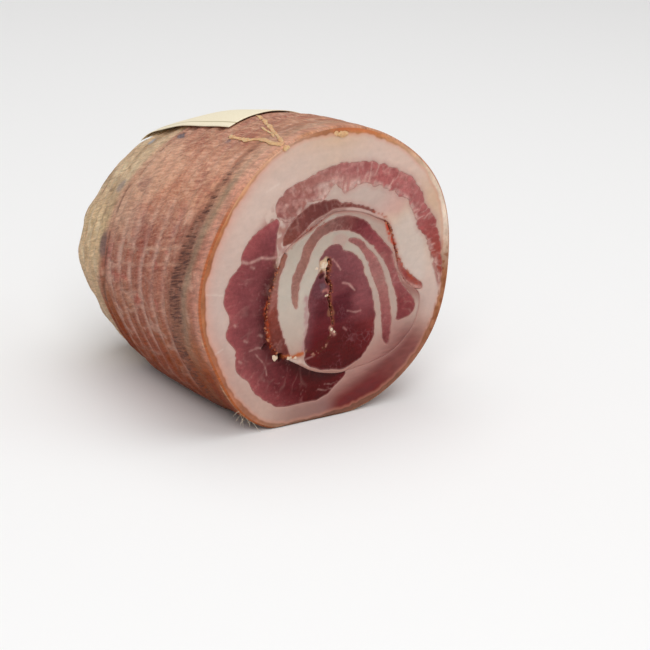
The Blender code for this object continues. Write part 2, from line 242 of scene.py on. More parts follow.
def seam_radius(angle):
    """Radius of the seam between the inner and the outer turn."""
    return np.interp(np.asarray(angle, float) % 360.0, seam_line[:, 0], seam_line[:, 1])


def place(u, w, y):
    """Row-frame metres of a point given in the cut's own plane and its depth in the roll."""
    u, w, y = np.broadcast_arrays(*(np.asarray(v, float) for v in (u, w, y)))
    inside = np.maximum(y, 0.0)
    narrow = 1.0 - NARROWING * (inside / 90.0) ** 1.5
    t = np.clip((inside - (BODY_LENGTH - END_ROUND)) / END_ROUND, 0.0, 1.0)
    rounding = END_SHARE + (1.0 - END_SHARE) * np.sqrt(1.0 - t * t)
    squeeze = 1.0 - END_SQUEEZE * ease(inside, 84.0, BODY_LENGTH)
    x = u * narrow * rounding + SIDE_SHIFT
    z = AXIS_HEIGHT * narrow + w * narrow * rounding * squeeze
    return np.stack([x, y + CUT_PLACE, z], -1) * MM


def polar(angle, radius):
    """Place in the cut's plane, sideways and up, of an angle and a radius."""
    a = np.radians(angle)
    return np.stack([radius * np.sin(a), radius * np.cos(a)], -1)


def angle_and_radius(p):
    """Angle clockwise from the top, in degrees, and distance from the middle of the spiral."""
    return np.degrees(np.arctan2(p[:, 0], p[:, 1])), np.hypot(p[:, 0], p[:, 1])


def even(loop, step):
    """The same closed line with its points a step apart."""
    p = np.vstack([loop, loop[:1]])
    s = np.concatenate([[0], np.cumsum(np.hypot(*np.diff(p, axis=0).T))])
    n = max(int(round(s[-1] / step)), 3)
    t = np.linspace(0, s[-1], n + 1)[:-1]
    return np.stack([np.interp(t, s, p[:, k]) for k in (0, 1)], -1)


def spread(loop, by):
    """Moves a closed line outward by a distance."""
    d = np.roll(loop, -1, 0) - np.roll(loop, 1, 0)
    n = np.stack([d[:, 1], -d[:, 0]], -1) / np.maximum(np.hypot(*d.T), 1e-9)[:, None]
    area = np.sum(loop[:, 0] * np.roll(loop[:, 1], -1) - np.roll(loop[:, 0], -1) * loop[:, 1])
    return loop + n * by * (1 if area > 0 else -1)


def lobe_step(name, side, angle, radius):
    """Runs along an edge and passes a whole number at each notch between two bundles."""
    wide = SCALLOPS[name][0 if side == 2 else 2]
    s = np.radians(angle) * radius
    loose = 2.6 if name == "top_lean" else 1.6
    drift = loose * noise(s, 3.0, size=11.0, seed=5 + side) + 1.1 * noise(s, 9.0, size=4.5, seed=7 + side)
    return (s + drift) / wide


def scallop(name, side, angle, radius):
    """Lobes of the muscle bundles along an edge."""
    deep = SCALLOPS[name][1 if side == 2 else 3]
    s = np.radians(angle) * radius
    lobes = np.abs(np.sin(np.pi * lobe_step(name, side, angle, radius))) ** 0.55 - 0.7
    rough = 0.35 * noise(s, 1.0, size=1.7, seed=9 + side) * min(deep, 0.6)
    if (name, side) in RAGGED:
        coarse, coarse_size, coarse_seed, fine, fine_size, fine_seed = RAGGED[name, side]
        lumps = (coarse * noise(s, 2.0, size=coarse_size, seed=coarse_seed)
                 + fine * noise(s, 4.0, size=fine_size, seed=fine_seed))
        # the left layer's inner edge is ragged at its notch alone
        rough = rough + lumps * ((angle > -74) if (name, side) == ("side_lean", 1) else 1.0)
    depth = deep * np.clip(0.7 + 0.9 * noise(s, 7.0, size=7.0, seed=11), 0.1, 1.5)
    off = lobes * depth * (1 if side == 2 else -1) + rough
    # the top layer and the dark one lie against each other here
    if (name == "dark_lean" and side == 2) or (name == "top_lean" and side == 1):
        off = off * np.where((angle > -45) & (angle < -22), 0.25, 1.0)
    return off


def edge(name, side, offset):
    """Inner (1) or outer (2) edge of a lean layer; offset is its distance from the seam where they meet."""
    layer = LAYERS[name]
    free = np.array([row[side] is not None for row in layer])
    rows = [(row[0], row[side] if row[side] is not None else float(seam_radius(row[0])) + offset)
            for row in layer]
    fine = spline(rows, 14)
    step = np.minimum(np.arange(len(fine)) // 14, len(layer) - 2)
    on_seam = ~free[step] & ~free[step + 1]
    angle, radius = fine[:, 0], fine[:, 1]
    fade = np.minimum(1.0, np.minimum(np.arange(len(fine)), np.arange(len(fine))[::-1]) / 10.0)
    radius = np.where(on_seam, seam_radius(angle) + offset,
                      radius + scallop(name, side, angle, radius) * fade)
    return polar(angle, radius)


def outline(name, offset):
    """Closed line round a lean layer; offset is where its seam side runs."""
    outer, inner = edge(name, 2, offset), edge(name, 1, offset)
    pieces = [outer]
    for a, b, before in ((outer[-1], inner[-1], outer[-4]), (inner[0], outer[0], inner[3])):
        middle, half = (a + b) / 2, np.hypot(*(a - b)) / 2
        ahead = a - before
        ahead = ahead / max(np.hypot(*ahead), 1e-9)
        arc = [middle + (a - middle) * math.cos(t) + ahead * 0.55 * half * math.sin(t)
               for t in (0.6, 1.2, 1.57, 1.95, 2.55)]
        pieces.append(np.array(arc))
        if len(pieces) == 2:
            pieces.append(inner[::-1])
    return even(np.vstack(pieces), 0.5)


def in_loop(points, loop):
    """Which points lie inside a closed line."""
    a, b = loop, np.roll(loop, -1, 0)
    out = np.zeros(len(points), bool)
    for start in range(0, len(points), 4096):
        p = points[start:start + 4096]
        up = (a[None, :, 1] > p[:, None, 1]) != (b[None, :, 1] > p[:, None, 1])
        rise = np.where(b[:, 1] == a[:, 1], 1e-12, b[:, 1] - a[:, 1])
        at = a[None, :, 0] + (p[:, None, 1] - a[None, :, 1]) * ((b[:, 0] - a[:, 0]) / rise)[None]
        out[start:start + 4096] = (np.sum(up & (p[:, None, 0] < at), 1) % 2) == 1
    return out


def nearness(points, lines):
    """Distance of each point to the nearest point of the lines."""
    total = sum(len(line) for line in lines)
    tree = KDTree(total)
    i = 0
    for line in lines:
        for x, y in line:
            tree.insert((x, y, 0.0), i)
            i += 1
    tree.balance()
    return np.array([tree.find((x, y, 0.0))[2] for x, y in points])


def fill(keep, cut_out, step):
    """Fine triangles inside one closed line and outside others."""
    loops = [keep] + list(cut_out)

    def inside(p):
        ok = in_loop(p, keep)
        for hole in cut_out:
            ok &= ~in_loop(p, hole)
        return ok

    lo, hi = keep.min(0), keep.max(0)
    rows = np.arange(lo[1], hi[1], step * 0.866)
    grid = []
    for k, y in enumerate(rows):
        across = np.arange(lo[0] + (0.5 * step if k % 2 else 0), hi[0], step)
        grid.append(np.stack([across, np.full(len(across), y)], -1))
    grid = np.vstack(grid)
    grid = grid[inside(grid)]
    grid = grid[nearness(grid, loops) > 0.5 * step]
    verts, edges = [], []
    for loop in loops:
        first = len(verts)
        verts += [Vector(p) for p in loop]
        edges += [(first + k, first + (k + 1) % len(loop)) for k in range(len(loop))]
    verts += [Vector(p) for p in grid]
    made, _, faces, _, _, _ = delaunay_2d_cdt(verts, edges, [], 0, 1e-5)
    points = np.array([tuple(v) for v in made])
    faces = np.array([f for f in faces if len(f) == 3])
    faces = faces[inside(points[faces].mean(1))]
    used = np.unique(faces)
    remap = np.full(len(points), -1)
    remap[used] = np.arange(len(used))
    return points[used], remap[faces]


def rim_edges(faces):
    """Directed edges that only one triangle has."""
    e = np.vstack([faces[:, [0, 1]], faces[:, [1, 2]], faces[:, [2, 0]]])
    have = {(a, b) for a, b in e.tolist()}
    return [(a, b) for a, b in have if (b, a) not in have]


def deepen(paint, gloss):
    """The gloss adds a little white to every tone, so the paint is set a touch deeper."""
    return np.maximum(paint * 1.01 - gloss, 0.3 * gloss)


def new_mesh(name, verts, faces, paint=None, marks=None, uv=None):
    """A smooth piece, with paint and marks held at its points and a flat layout in decimetres."""
    mesh = bpy.data.meshes.new(name)
    mesh.from_pydata([tuple(v) for v in verts], [], [tuple(int(i) for i in f) for f in faces])
    if paint is not None:
        paint = deepen(paint, GLOSS.get(name.split("_")[-1], GLOSS_ELSEWHERE))
    for label, values in (("paint", paint), ("marks", marks)):
        if values is not None:
            rgba = np.ones((len(verts), 4), np.float32)
            rgba[:, :3] = values
            layer = mesh.color_attributes.new(label, 'FLOAT_COLOR', 'POINT')
            layer.data.foreach_set("color", rgba.ravel())
    if uv is not None:
        layer = mesh.uv_layers.new(name="flat")
        loops = np.zeros(len(mesh.loops), np.int32)
        mesh.loops.foreach_get("vertex_index", loops)
        layer.data.foreach_set("uv", np.asarray(uv, np.float32)[loops].ravel())
    mesh.polygons.foreach_set("use_smooth", np.ones(len(mesh.polygons), bool))
    mesh.update()
    obj = bpy.data.objects.new(name, mesh)
    bpy.context.scene.collection.objects.link(obj)
    return obj


def along(stations, x):
    """Colour that changes along a line of places, each a hex value."""
    at = [s[0] for s in stations]
    rgb = np.array([linear(s[1]) for s in stations])
    return np.stack([np.interp(x, at, rgb[:, k]) for k in range(3)], -1)


def mix(base, colour, amount):
    """Lays a colour over another by an amount from 0 to 1."""
    colour = linear(colour) if isinstance(colour, str) else colour
    m = np.clip(amount, 0.0, 1.0)[:, None]
    return base * (1 - m) + colour * m


def by_angle(table, angle):
    """Value of a table whose rows are angle and number."""
    return np.interp(angle, [s[0] for s in table], [s[1] for s in table])


def from_line(points, line):
    """Distance of each point to a broken line, and the share along it."""
    line = np.asarray(line, float)
    best = np.full(len(points), 1e9)
    where = np.zeros(len(points))
    for k in range(len(line) - 1):
        a, ab = line[k], line[k + 1] - line[k]
        t = np.clip((points - a) @ ab / max(ab @ ab, 1e-12), 0, 1)
        d = np.hypot(*(points - a - t[:, None] * ab).T)
        near = d < best
        best = np.where(near, d, best)
        where = np.where(near, (k + t) / (len(line) - 1), where)
    return best, where


def mark(points, line, width, wobble=0.0, seed=1):
    """Soft streak along a broken line, 1 on the line and fading over its width."""
    d, _ = from_line(points, line)
    if wobble:
        d = d + wobble * noise(points[:, 0], points[:, 1], size=1.4, seed=seed)
    return np.exp(-(np.maximum(d, 0) / width) ** 2)


def spot(points, x, y, r, seed):
    """Blotch with an uneven edge, 1 in its middle and 0 outside."""
    d = np.hypot(points[:, 0] - x, points[:, 1] - y)
    d = d + 0.45 * r * noise(points[:, 0], points[:, 1], size=r * 0.9, seed=seed)
    return 1 - ease(d, 0.6 * r, 1.25 * r)


# Colours round the cut, each at an angle, and the depth of the rind; the tones towards the bottom, near 180
# degrees, are set deeper partly as painted shade
RIND_TONES = ((-180, "#825a4b"), (-160, "#96705a"), (-148, "#ab7055"), (-120, "#aa6a4e"),
              (-100, "#ad6e4a"), (-75, "#aa6843"), (-60, "#ba7850"), (-45, "#cf9570"),
              (-25, "#d4a58c"), (-10, "#a97252"), (0, "#b0714c"), (10, "#c88556"), (22, "#d08c5e"),
              (35, "#cf9e7c"), (50, "#d4b8a0"), (62, "#dac4b0"), (75, "#dcc6b4"), (84, "#ceae98"),
              (96, "#9c6444"), (108, "#a56e4c"), (130, "#965f48"), (160, "#7a5040"), (180, "#825a4b"))
RIND_DEPTHS = ((-180, 2.4), (-150, 2.3), (-125, 2.3), (-110, 2.3), (-75, 2.2), (-58, 2.0),
               (-45, 1.8), (-25, 1.7), (0, 2.4), (15, 2.4), (35, 2.0), (50, 2.0), (70, 2.4),
               (84, 3.4), (96, 3.4), (120, 2.8), (180, 2.4))
FAT_TONES = ((-180, "#936c66"), (-165, "#a07c72"), (-150, "#bf9f92"), (-120, "#bc998e"),
             (-95, "#c8aba1"), (-70, "#c9ab9f"), (-50, "#d2b5a8"), (-20, "#d3b6a6"), (0, "#d2b198"),
             (20, "#d4b7a9"), (45, "#d4b7a9"), (62, "#ceac93"), (80, "#cdb19d"), (95, "#ceb6aa"),
             (110, "#c6aaa0"), (125, "#be9482"), (140, "#b07c6c"), (158, "#96584e"), (180, "#936c66"))
LEAN_TONES = {
    "side_lean": ((-195, "#5e2024"), (-180, "#52171a"), (-165, "#561b1e"), (-145, "#682f32"),
                  (-125, "#723e3f"), (-105, "#763c3f"), (-85, "#7c4244"), (-66, "#793e40"),
                  (-45, "#84464a")),
    "top_lean": ((-43, "#94605a"), (-22, "#96625a"), (-6, "#9e6660"), (10, "#a46462"),
                 (30, "#a65e5c"), (50, "#a46260"), (62, "#a2605e"), (72, "#984e4c"), (85, "#95463e"),
                 (100, "#964c40")),
    "dark_lean": ((-54, "#764238"), (-30, "#703e3a"), (-10, "#663734"), (10, "#703e38"),
                  (20, "#743c36"), (41, "#7c4640")),
    "wedge_lean": ((85, "#9c5f58"), (96, "#863c39"), (102, "#945048")),
    "strip_lean": ((-148, "#6c3632"), (-125, "#743a32"), (-110, "#824237"), (-95, "#966058"),
                   (-78, "#8c6054"), (-60, "#8e5c4e")),
    "mid_lean": ((-121, "#9e7366"), (-95, "#93685e"), (-65, "#8d6258"), (-36, "#8c6056"),
                 (-8, "#835a53"), (8, "#7e504b"), (20, "#723f3c"), (36, "#6e3034"), (55, "#844145"),
                 (70, "#8b4a4b"), (85, "#8f5250"), (102, "#8b4e4f"), (112, "#803c3d"),
                 (122, "#7a3c3e")),
    "thin_lean": ((30, "#8c5654"), (60, "#945c58"), (84, "#9b6461"), (100, "#9c6a64"),
                  (114, "#965e5a"), (126, "#8c4e4e"), (135, "#76393a")),
}


def face_relief(p):
    """Slow unevenness that the knife left, shared by every layer."""
    return (0.35 * cloud(p[:, 0], p[:, 1], size=26.0, seed=3)
            + 0.10 * noise(p[:, 0], p[:, 1], size=6.0, seed=4)
            + 0.04 * noise(p[:, 0] * 0.25, p[:, 1], size=1.4, seed=6))


def bundles(p, size, stretch, seed, width):
    """Distance to the thin walls between muscle bundles, as a mask."""
    a, r = angle_and_radius(p)
    q = np.stack([np.radians(a) * LEAN_RADIUS, r / stretch], -1)
    q = q + 0.22 * size * np.stack([noise(p[:, 0], p[:, 1], size=size * 0.7, seed=seed + 1),
                                    noise(p[:, 0], p[:, 1], size=size * 0.7, seed=seed + 2)], -1)
    cell = np.floor(q / size).astype(np.int64)
    near = np.full((2, len(p)), 1e9)
    for dx in (-1, 0, 1):
        for dy in (-1, 0, 1):
            c = cell + (dx, dy)
            jx = dice(c[:, 0], c[:, 1], c[:, 0] * 0, seed)
            jy = dice(c[:, 0], c[:, 1], c[:, 0] * 0 + 1, seed)
            d = np.hypot(q[:, 0] - (c[:, 0] + jx) * size, q[:, 1] - (c[:, 1] + jy) * size)
            near = np.where(d < near[0], np.stack([d, near[0]]),
                            np.stack([near[0], np.minimum(d, near[1])]))
    return np.exp(-((near[1] - near[0]) / width) ** 2)


def radius_at(name, side, angle):
    """Plain radius of a layer's inner (1) or outer (2) edge, without its lobes."""
    rows = sorted((row[0], row[side] if row[side] is not None else float(seam_radius(row[0])))
                  for row in LAYERS[name])
    return np.interp(angle, [row[0] for row in rows], [row[1] for row in rows])


def walls(name, side, p, reach, width, seed):
    """Thin fat walls that run inward from the notches of an edge."""
    a, r = angle_and_radius(p)
    if name == "side_lean":
        a = np.where(a > 90, a - 360, a)
    edge_r = radius_at(name, side, a)
    inner, outer = radius_at(name, 1, a), radius_at(name, 2, a)
    into = np.abs(edge_r - r)
    bend = 0.16 * noise(p[:, 0], p[:, 1], size=3.5, seed=seed) * ease(into, 0.5, 3.0)
    step = lobe_step(name, side, a, edge_r) + bend
    nearest = np.round(step)
    off = np.abs(step - nearest) * SCALLOPS[name][0 if side == 2 else 2]
    whole = nearest.astype(np.int64)
    own = dice(whole, whole * 0, whole * 0 + side, seed)
    length = reach * (0.35 + 0.9 * own) * (outer - inner)
    thin = width * (0.6 + 0.7 * own)
    fade = 1 - ease(into, length * 0.6, length + 0.01)
    return np.exp(-(off / thin) ** 2) * fade * ease(own, 0.05, 0.7)


# What is rubbed in along the seam: line on the cut, half width, tone, strength
SPICE_LINES = (
    (((-32.4, 16), (-32.4, 9.4), (-33.0, 4.0), (-35.0, -2.3)), 1.9, "#84604c", 0.55),
    (((-34.0, 2.0), (-36.0, -3.0), (-37.4, -9.4), (-36.1, -15.5), (-34.9, -20.7), (-33.7, -26.8),
      (-30.5, -32.3), (-27.0, -34.8)), 1.8, "#4e1814", 0.7),
    (((-36.4, -6.0), (-37.4, -9.4), (-36.1, -15.5), (-34.9, -20.7), (-33.7, -26.8), (-30.5, -32.3)),
     0.95, "#a6472a", 0.95),
    (((-5.0, 28.4), (-10.5, 27.2), (-15.3, 25.9), (-19.8, 23.2), (-23.5, 19.6)), 0.8, "#8e3522", 0.85),
    (((24.0, 30.5), (31.4, 26.6), (33.0, 23.5), (34.5, 17.3), (37.2, 13.9), (40.1, 8.5),
      (41.7, 4.2), (45.9, -1.5), (54.2, -10.9)), 0.75, "#a84a2e", 0.75),
    (((33.0, 23.0), (34.6, 17.3), (37.0, 13.6), (39.2, 9.6)), 1.25, "#b8391a", 0.95),
    (((-25.5, -34.6), (-20.0, -35.4), (-14.5, -34.8)), 0.7, "#b06038", 0.8),
)
# Pits in the cut: sideways, up, width and seed, then depth, the tone of the painted shade inside and its
# strength
PITS = (((-27.2, -34.6, 1.7, 126), 2.6, "#2c1010", 0.9),
        ((-36.8, -27.6, 1.5, 127), 1.2, "#3a1614", 0.7))
# Pale lines and specks in the lean, half width, strength
PALE_LINES = (
    (((-51.6, 16.0), (-48.7, 14.8), (-44.6, 15.4), (-41.4, 16.4), (-36.5, 15.6), (-32.1, 15.4)), 0.75, 0.75),
    (((-42.2, -30.3), (-39.0, -33.6), (-36.7, -36.2), (-35.2, -39.4), (-34.6, -42.6)), 0.35, 0.4),
    (((-45.5, -28.5), (-41.2, -27.5), (-37.5, -28.2)), 0.5, 0.4),
    (((21.3, 54.5), (21.1, 50.5), (20.6, 47.0), (20.0, 43.6)), 0.5, 0.8),
    (((-46.6, 12.8), (-44.8, 12.0)), 0.8, 0.5), (((-28.2, 39.9), (-27.4, 39.5)), 0.7, 0.95),
    (((-48.6, -23.0), (-47.0, -23.8)), 0.6, 0.5), (((-54.8, -14.0), (-54.0, -14.8)), 0.6, 0.5),
    (((-51.2, -32.4), (-50.2, -33.2)), 0.6, 0.5), (((-39.8, -21.5), (-38.6, -22.3)), 0.6, 0.5),
    (((37.6, 6.4), (42.2, -1.9), (45.8, -7.5), (51.7, -11.5), (56.9, -12.9)), 0.8, 0.75),
    (((11.0, -3.6), (13.0, -5.6), (15.6, -7.9)), 0.35, 0.5),
    (((8.0, -52.9), (4.4, -53.7), (0.6, -53.1)), 0.38, 0.36),
    (((4.6, -56.0), (0.8, -56.3), (-3.4, -55.2)), 0.42, 0.4),
)


def shared_marks(c, p):
    """Marks that run over several layers: fat threads, spice along the seam, painted shade in the pits beside
    it.
    """
    for line, wide, amount in PALE_LINES:
        c = mix(c, "#c49c92", amount * mark(p, line, wide, 0.3, 121)
                * (0.75 + 0.25 * noise(p[:, 0], p[:, 1], size=1.5, seed=122)))
    grains = noise(p[:, 0], p[:, 1], size=1.1, seed=123) + 0.6 * noise(p[:, 0], p[:, 1], size=3.4, seed=124)
    speckle = ease(grains, -0.35, 0.3)
    for line, wide, tone, amount in SPICE_LINES:
        c = mix(c, tone, amount * mark(p, line, wide, 0.5, 125) * (0.2 + 0.8 * speckle))
    # painted shade down in the pits
    for (sideways, up, wide, seed), _, tone, amount in PITS:
        c = mix(c, tone, amount * spot(p, sideways, up, wide, seed))
    return c


# How far the seam gapes, by angle
SEAM_OPEN = ((-180, 0.04), (-165, 0.04), (-152, 0.12), (-142, 0.8), (-125, 1.2), (-95, 1.2),
             (-70, 0.9), (-58, 0.7), (-45, 0.35), (-34, 0.7), (-12, 0.35), (0, 0.1), (30, 0.12),
             (42, 0.4), (52, 1.0), (70, 1.2), (88, 0.8), (100, 0.4), (108, 0.05), (150, 0.03),
             (165, 0.03), (180, 0.04))

# Fat between the bundles of each lean layer: width of a bundle, its stretch outward, strength
BUNDLES = {"side_lean": (6.5, 1.9, 0.11), "top_lean": (5.2, 1.5, 0.30), "dark_lean": (5.0, 1.5, 0.18),
           "mid_lean": (5.5, 1.2, 0.22), "thin_lean": (4.5, 1.2, 0.25),
           "wedge_lean": (5.0, 1.3, 0.2), "strip_lean": (5.0, 1.3, 0.2)}


def paint_side_lean(c, p, a, r):
    """Redder outside, near black along the seam, with thin walls and a frayed edge at the notch."""
    x, z = p[:, 0], p[:, 1]
    layer = LAYERS["side_lean"]
    outer = np.interp(-a, [-row[0] for row in layer], [row[2] for row in layer])
    t = np.clip((r - seam_radius(a)) / np.maximum(outer - seam_radius(a), 1), 0, 1)
    c = mix(c, "#a25556", ease(t, 0.55, 1.0) * 0.62 * ease(a, -175, -140))
    c = mix(c, "#340d10", (1 - ease(t, 0.0, 0.42)) * 0.84 * ease(-a, 60, 80))
    c = mix(c, "#7c3f42", 0.5 * spot(p, -52.0, 8.0, 8.0, 133) + 0.4 * spot(p, -50, -22, 7.0, 134))
    c = mix(c, "#a86e69", walls("side_lean", 2, p, 0.3, 0.45, 131) * 0.28)
    into = radius_at("side_lean", 1, a) + 1.2 + 1.6 * noise(x, z, size=3.0, seed=167) - r
    return mix(c, "#a87470", 0.6 * ease(into, 0.0, 1.2) * ease(a, -76, -68))


def paint_top_lean(c, p, a, r):
    """Paler inside, where fingers of fat reach in, with a thin wall of fat at each notch."""
    x, z = p[:, 0], p[:, 1]
    c = mix(c, "#bd8f84", 0.5 * (1 - ease(r, 47, 54)) * ease(a, -18, -4) * (1 - ease(a, 25, 40)))
    c = mix(c, "#c2a298", 0.85 * (1 - ease(r, 47.5, 50)) * ease(a, -15, -10) * (1 - ease(a, 0, 4))
            * ease(noise(x, z, size=2.6, seed=164), -0.6, 0.1))
    c = mix(c, "#8c3a30", 0.5 * ease(a, 84, 96))
    finger = ease(noise(np.radians(a) * 50, r * 0.3, size=1.7, seed=128) + 0.25, 0.0, 0.5)
    into = r - radius_at("top_lean", 1, a)
    middle = ease(a, -12, -4) * (1 - ease(a, 20, 30))
    c = mix(c, "#c8aca2", finger * (1 - ease(into, 1.5, 5.5)) * middle * 0.85)
    c = mix(c, "#c8aca2", finger * (1 - ease(into, 0.8, 3.0)) * 0.6)
    loose = 0.35 + 0.65 * ease(noise(x, z, size=6.0, seed=135), -0.3, 0.4)
    c = mix(c, "#c49a90", walls("top_lean", 2, p, 0.6, 0.4, 129) * 0.7 * loose)
    c = mix(c, "#c8a298", walls("top_lean", 1, p, 0.6, 0.45, 130) * 0.7 * loose)
    c = mix(c, "#bf8f86", 0.5 * ease(cloud(x, z, size=3.2, seed=136), 0.1, 0.6) * (1 - ease(a, 40, 60)))
    return mix(c, "#8a4a48", 0.45 * ease(cloud(x, z, size=3.6, seed=137), 0.1, 0.6))


def paint_lean(name, p, d):
    """Colour of a lean layer at the cut; d is the distance to its edge."""
    a, r = angle_and_radius(p)
    if name == "side_lean":
        a = np.where(a > 90, a - 360, a)
    c = along(LEAN_TONES[name], a)
    x, z = p[:, 0], p[:, 1]
    shade = 1 + 0.16 * cloud(x, z, size=9.0, seed=21) + 0.10 * noise(x, z, size=2.2, seed=22)
    c = c * shade[:, None]
    if name == "side_lean":
        c = paint_side_lean(c, p, a, r)
    if name == "top_lean":
        c = paint_top_lean(c, p, a, r)
    if name == "dark_lean":
        c = mix(c, "#a06c62", walls(name, 2, p, 0.5, 0.35, 132) * 0.5)
    bundle, stretch, strength = BUNDLES[name]
    vein = bundles(p, bundle, stretch, 31, 0.75)
    keep = ease(cloud(x, z, size=7.0, seed=33), -0.15, 0.45)
    c = mix(c, "#c49a90", vein * keep * strength)
    fine = bundles(p, bundle * 0.42, stretch, 41, 0.28)
    c = mix(c, "#b4807a", fine * ease(cloud(x, z, size=5.0, seed=43), 0.0, 0.6) * strength * 0.4)
    fleck = ease(noise(x, z, size=0.9, seed=45) + 0.5 * cloud(x, z, size=6.0, seed=46), 0.72, 0.95)
    c = mix(c, "#c0908a", fleck * 0.12)
    # fibres of the bundles, seen end on and a little slantwise
    streak = noise(x * 0.25 + 0.2 * z, z - 0.05 * x, size=0.9, seed=47)
    c = c * (1 + 0.08 * streak + 0.05 * noise(x, z, size=0.7, seed=48))[:, None]
    # lean bleeds pink into the fat at its edge
    at_seam = ease(np.abs(r - seam_radius(a)), 0.3, 1.5)
    c = mix(c, "#b98a80", (1 - ease(d, 0.0, 0.75)) * 0.45 * at_seam)
    return shared_marks(c, p)


def split_at(p):
    """Distance to the ragged split down the middle lobe, with its half width and depth there."""
    x, z = p[:, 0], p[:, 1]
    bend = np.stack([noise(x, z, size=2.6, seed=161), noise(x, z, size=2.6, seed=162)], -1)
    d, share = from_line(p + 0.75 * bend, [row[:2] for row in CRACK])
    stations = np.linspace(0, 1, len(CRACK))
    half, well = (np.interp(share, stations, [row[k] for row in CRACK]) for k in (2, 3))
    return d, half * (1 + 0.6 * noise(x, z, size=1.9, seed=163)), well


def paint_core(p, d):
    """Colour of the round lean in the middle, with its hooked pocket of fat and its split."""
    x, z = p[:, 0], p[:, 1]
    # darker towards the bottom: partly painted shade
    c = along(((-50, "#4b0f13"), (-42, "#561417"), (-32, "#5d1d20"), (-20, "#65272b"), (-8, "#6e363a"),
               (4, "#744044"), (17, "#7c4a4c")), z)
    right = ease(x, 4, 22) * ease(z, -34, -8)
    c = mix(c, "#8b5053", right * 0.75)
    for tone, amount, sideways, up, wide, seed in (
            ("#4c1a20", 0.6, -5.5, -13.0, 6.5, 57), ("#742c2c", 0.6, 24.0, -33.0, 8.0, 58),
            ("#5f3a40", 0.6, -5.0, -4.5, 6.5, 51), ("#6a6068", 0.35, -3.6, -3.6, 2.2, 52)):
        c = mix(c, tone, amount * spot(p, sideways, up, wide, seed))
    c = mix(c, "#7a4a4e", 0.5 * mark(p, ((-10, -12), (-12, -24), (-13, -32)), 3.5))
    c = mix(c, "#4e1d24", 0.75 * spot(p, 9.5, -15.0, 7.5, 55))
    c = mix(c, "#51191c", 0.6 * spot(p, 12.0, -38.0, 12.0, 56))
    fibres = noise(x * 0.2 + z * 0.1, z - 0.05 * x, size=1.0, seed=54)
    c = c * (1 + 0.12 * cloud(x, z, size=8.0, seed=53) + 0.11 * fibres)[:, None]
    grain = bundles(p, 3.4, 1.0, 61, 0.3) * ease(cloud(x, z, size=8.0, seed=62), 0.0, 0.6)
    c = mix(c, "#8d5d60", grain * 0.4)
    # short threads of fat in the lean
    for line, amount in ((((8, -3.2), (12, -4.2), (15, -7.4)), 0.55),
                         (((12, -17.8), (17, -19.3), (20, -19)), 0.6),
                         (((2.2, 8.6), (5.4, 5.0), (6.2, 3.4)), 0.75),
                         (((-1.5, 10.0), (1.2, 9.4)), 0.7), (((10, -26), (12, -27.5)), 0.35),
                         (((-13, -38.5), (-8, -37.6)), 0.5)):
        c = mix(c, "#b88680", mark(p, line, 0.45, 0.25, 63) * amount)
    # paler rim of the lobe, then the split and what lies in it, with painted shade deep in the split
    c = mix(c, "#a77c74", (1 - ease(d, 0.0, 0.8)) * 0.5)
    split, half, _ = split_at(p)
    c = mix(c, "#8a4a3c", 0.7 * (1 - ease(split, half, half + 1.3)))
    spice = ease(noise(x, z, size=1.1, seed=64), 0.1, 0.5)
    c = mix(c, "#7d4a2c", spice * (1 - ease(split, half, half + 1.0)))
    # painted shade deep in the split
    c = mix(c, "#2a1010", (1 - ease(split, half * 0.5, half + 0.15)))
    c = mix(c, "#c79f8e", 0.8 * mark(p, ((-2.9, 5.2), (-2.6, 1.8), (-1.0, -1.2)), 0.6, 0.3, 65))
    c = mix(c, "#b06f66", 0.8 * mark(p, ((-3.4, -5.6), (-1.4, -5.2), (0.4, -7.8)), 0.7, 0.3, 66))
    c = mix(c, "#c08a7c", 0.8 * mark(p, ((2.0, -24.5), (3.4, -27.6), (5.2, -28.6)), 0.8, 0.45, 67))
    c = mix(c, "#8a5a44", 0.7 * spot(p, 2.0, -17.0, 2.0, 68))
    # crumbs of pepper that trail from the split to the seam's end
    trail = mark(p, ((2.9, -25.5), (1.1, -31.0), (-1.2, -34.5), (-5.0, -36.6), (-9.4, -35.6),
                     (-12.0, -34.2)), 1.0, 0.6, 73)
    c = mix(c, "#5a2c1c", 0.8 * trail * ease(noise(x, z, size=1.2, seed=74), -0.1, 0.3))
    c = mix(c, "#b0806c", 0.7 * trail * ease(noise(x, z, size=1.1, seed=75), 0.25, 0.5))
    # hooked pocket of fat at the top of the split
    c = mix(c, "#c9ad8f", spot(p, -4.4, 7.6, 3.1, 69))
    c = mix(c, "#c8ab98", 0.95 * spot(p, -7.8, 6.0, 3.0, 70))
    c = mix(c, "#6e3a24", 0.85 * spot(p, -5.4, 4.6, 1.1, 71))
    c = mix(c, "#3a1512", 0.85 * spot(p, -4.6, 2.2, 1.6, 72))
    return shared_marks(c, p)


def redden_and_shade_low_right(c, p):
    """Both fats turn red together low on the right, next to the rind: partly a red tint, partly painted
    shadow with a red reflection in it.
    """
    a, r = angle_and_radius(p)
    start = np.interp(a, (105, 120, 140, 160, 175), (60, 50, 48, 50, 54))
    low = ease(a, 112, 130) * (1 - ease(a, 166, 180))
    c = mix(c, "#a5726a", 0.75 * low * ease(r, start - 6, start + 4))
    c = mix(c, "#6f302e", 0.8 * low * ease(r, start + 2, start + 14))
    c = mix(c, "#6c1517", 0.82 * ease(a, 134, 156) * (1 - ease(a, 170, 180)) * ease(r, 53, 66))
    fibre = noise(p[:, 0] * 0.3 - 0.2 * p[:, 1], p[:, 1] * 1.1, size=1.1, seed=168)
    return c * (1 + 0.12 * fibre * low * ease(r, start, start + 8))[:, None]


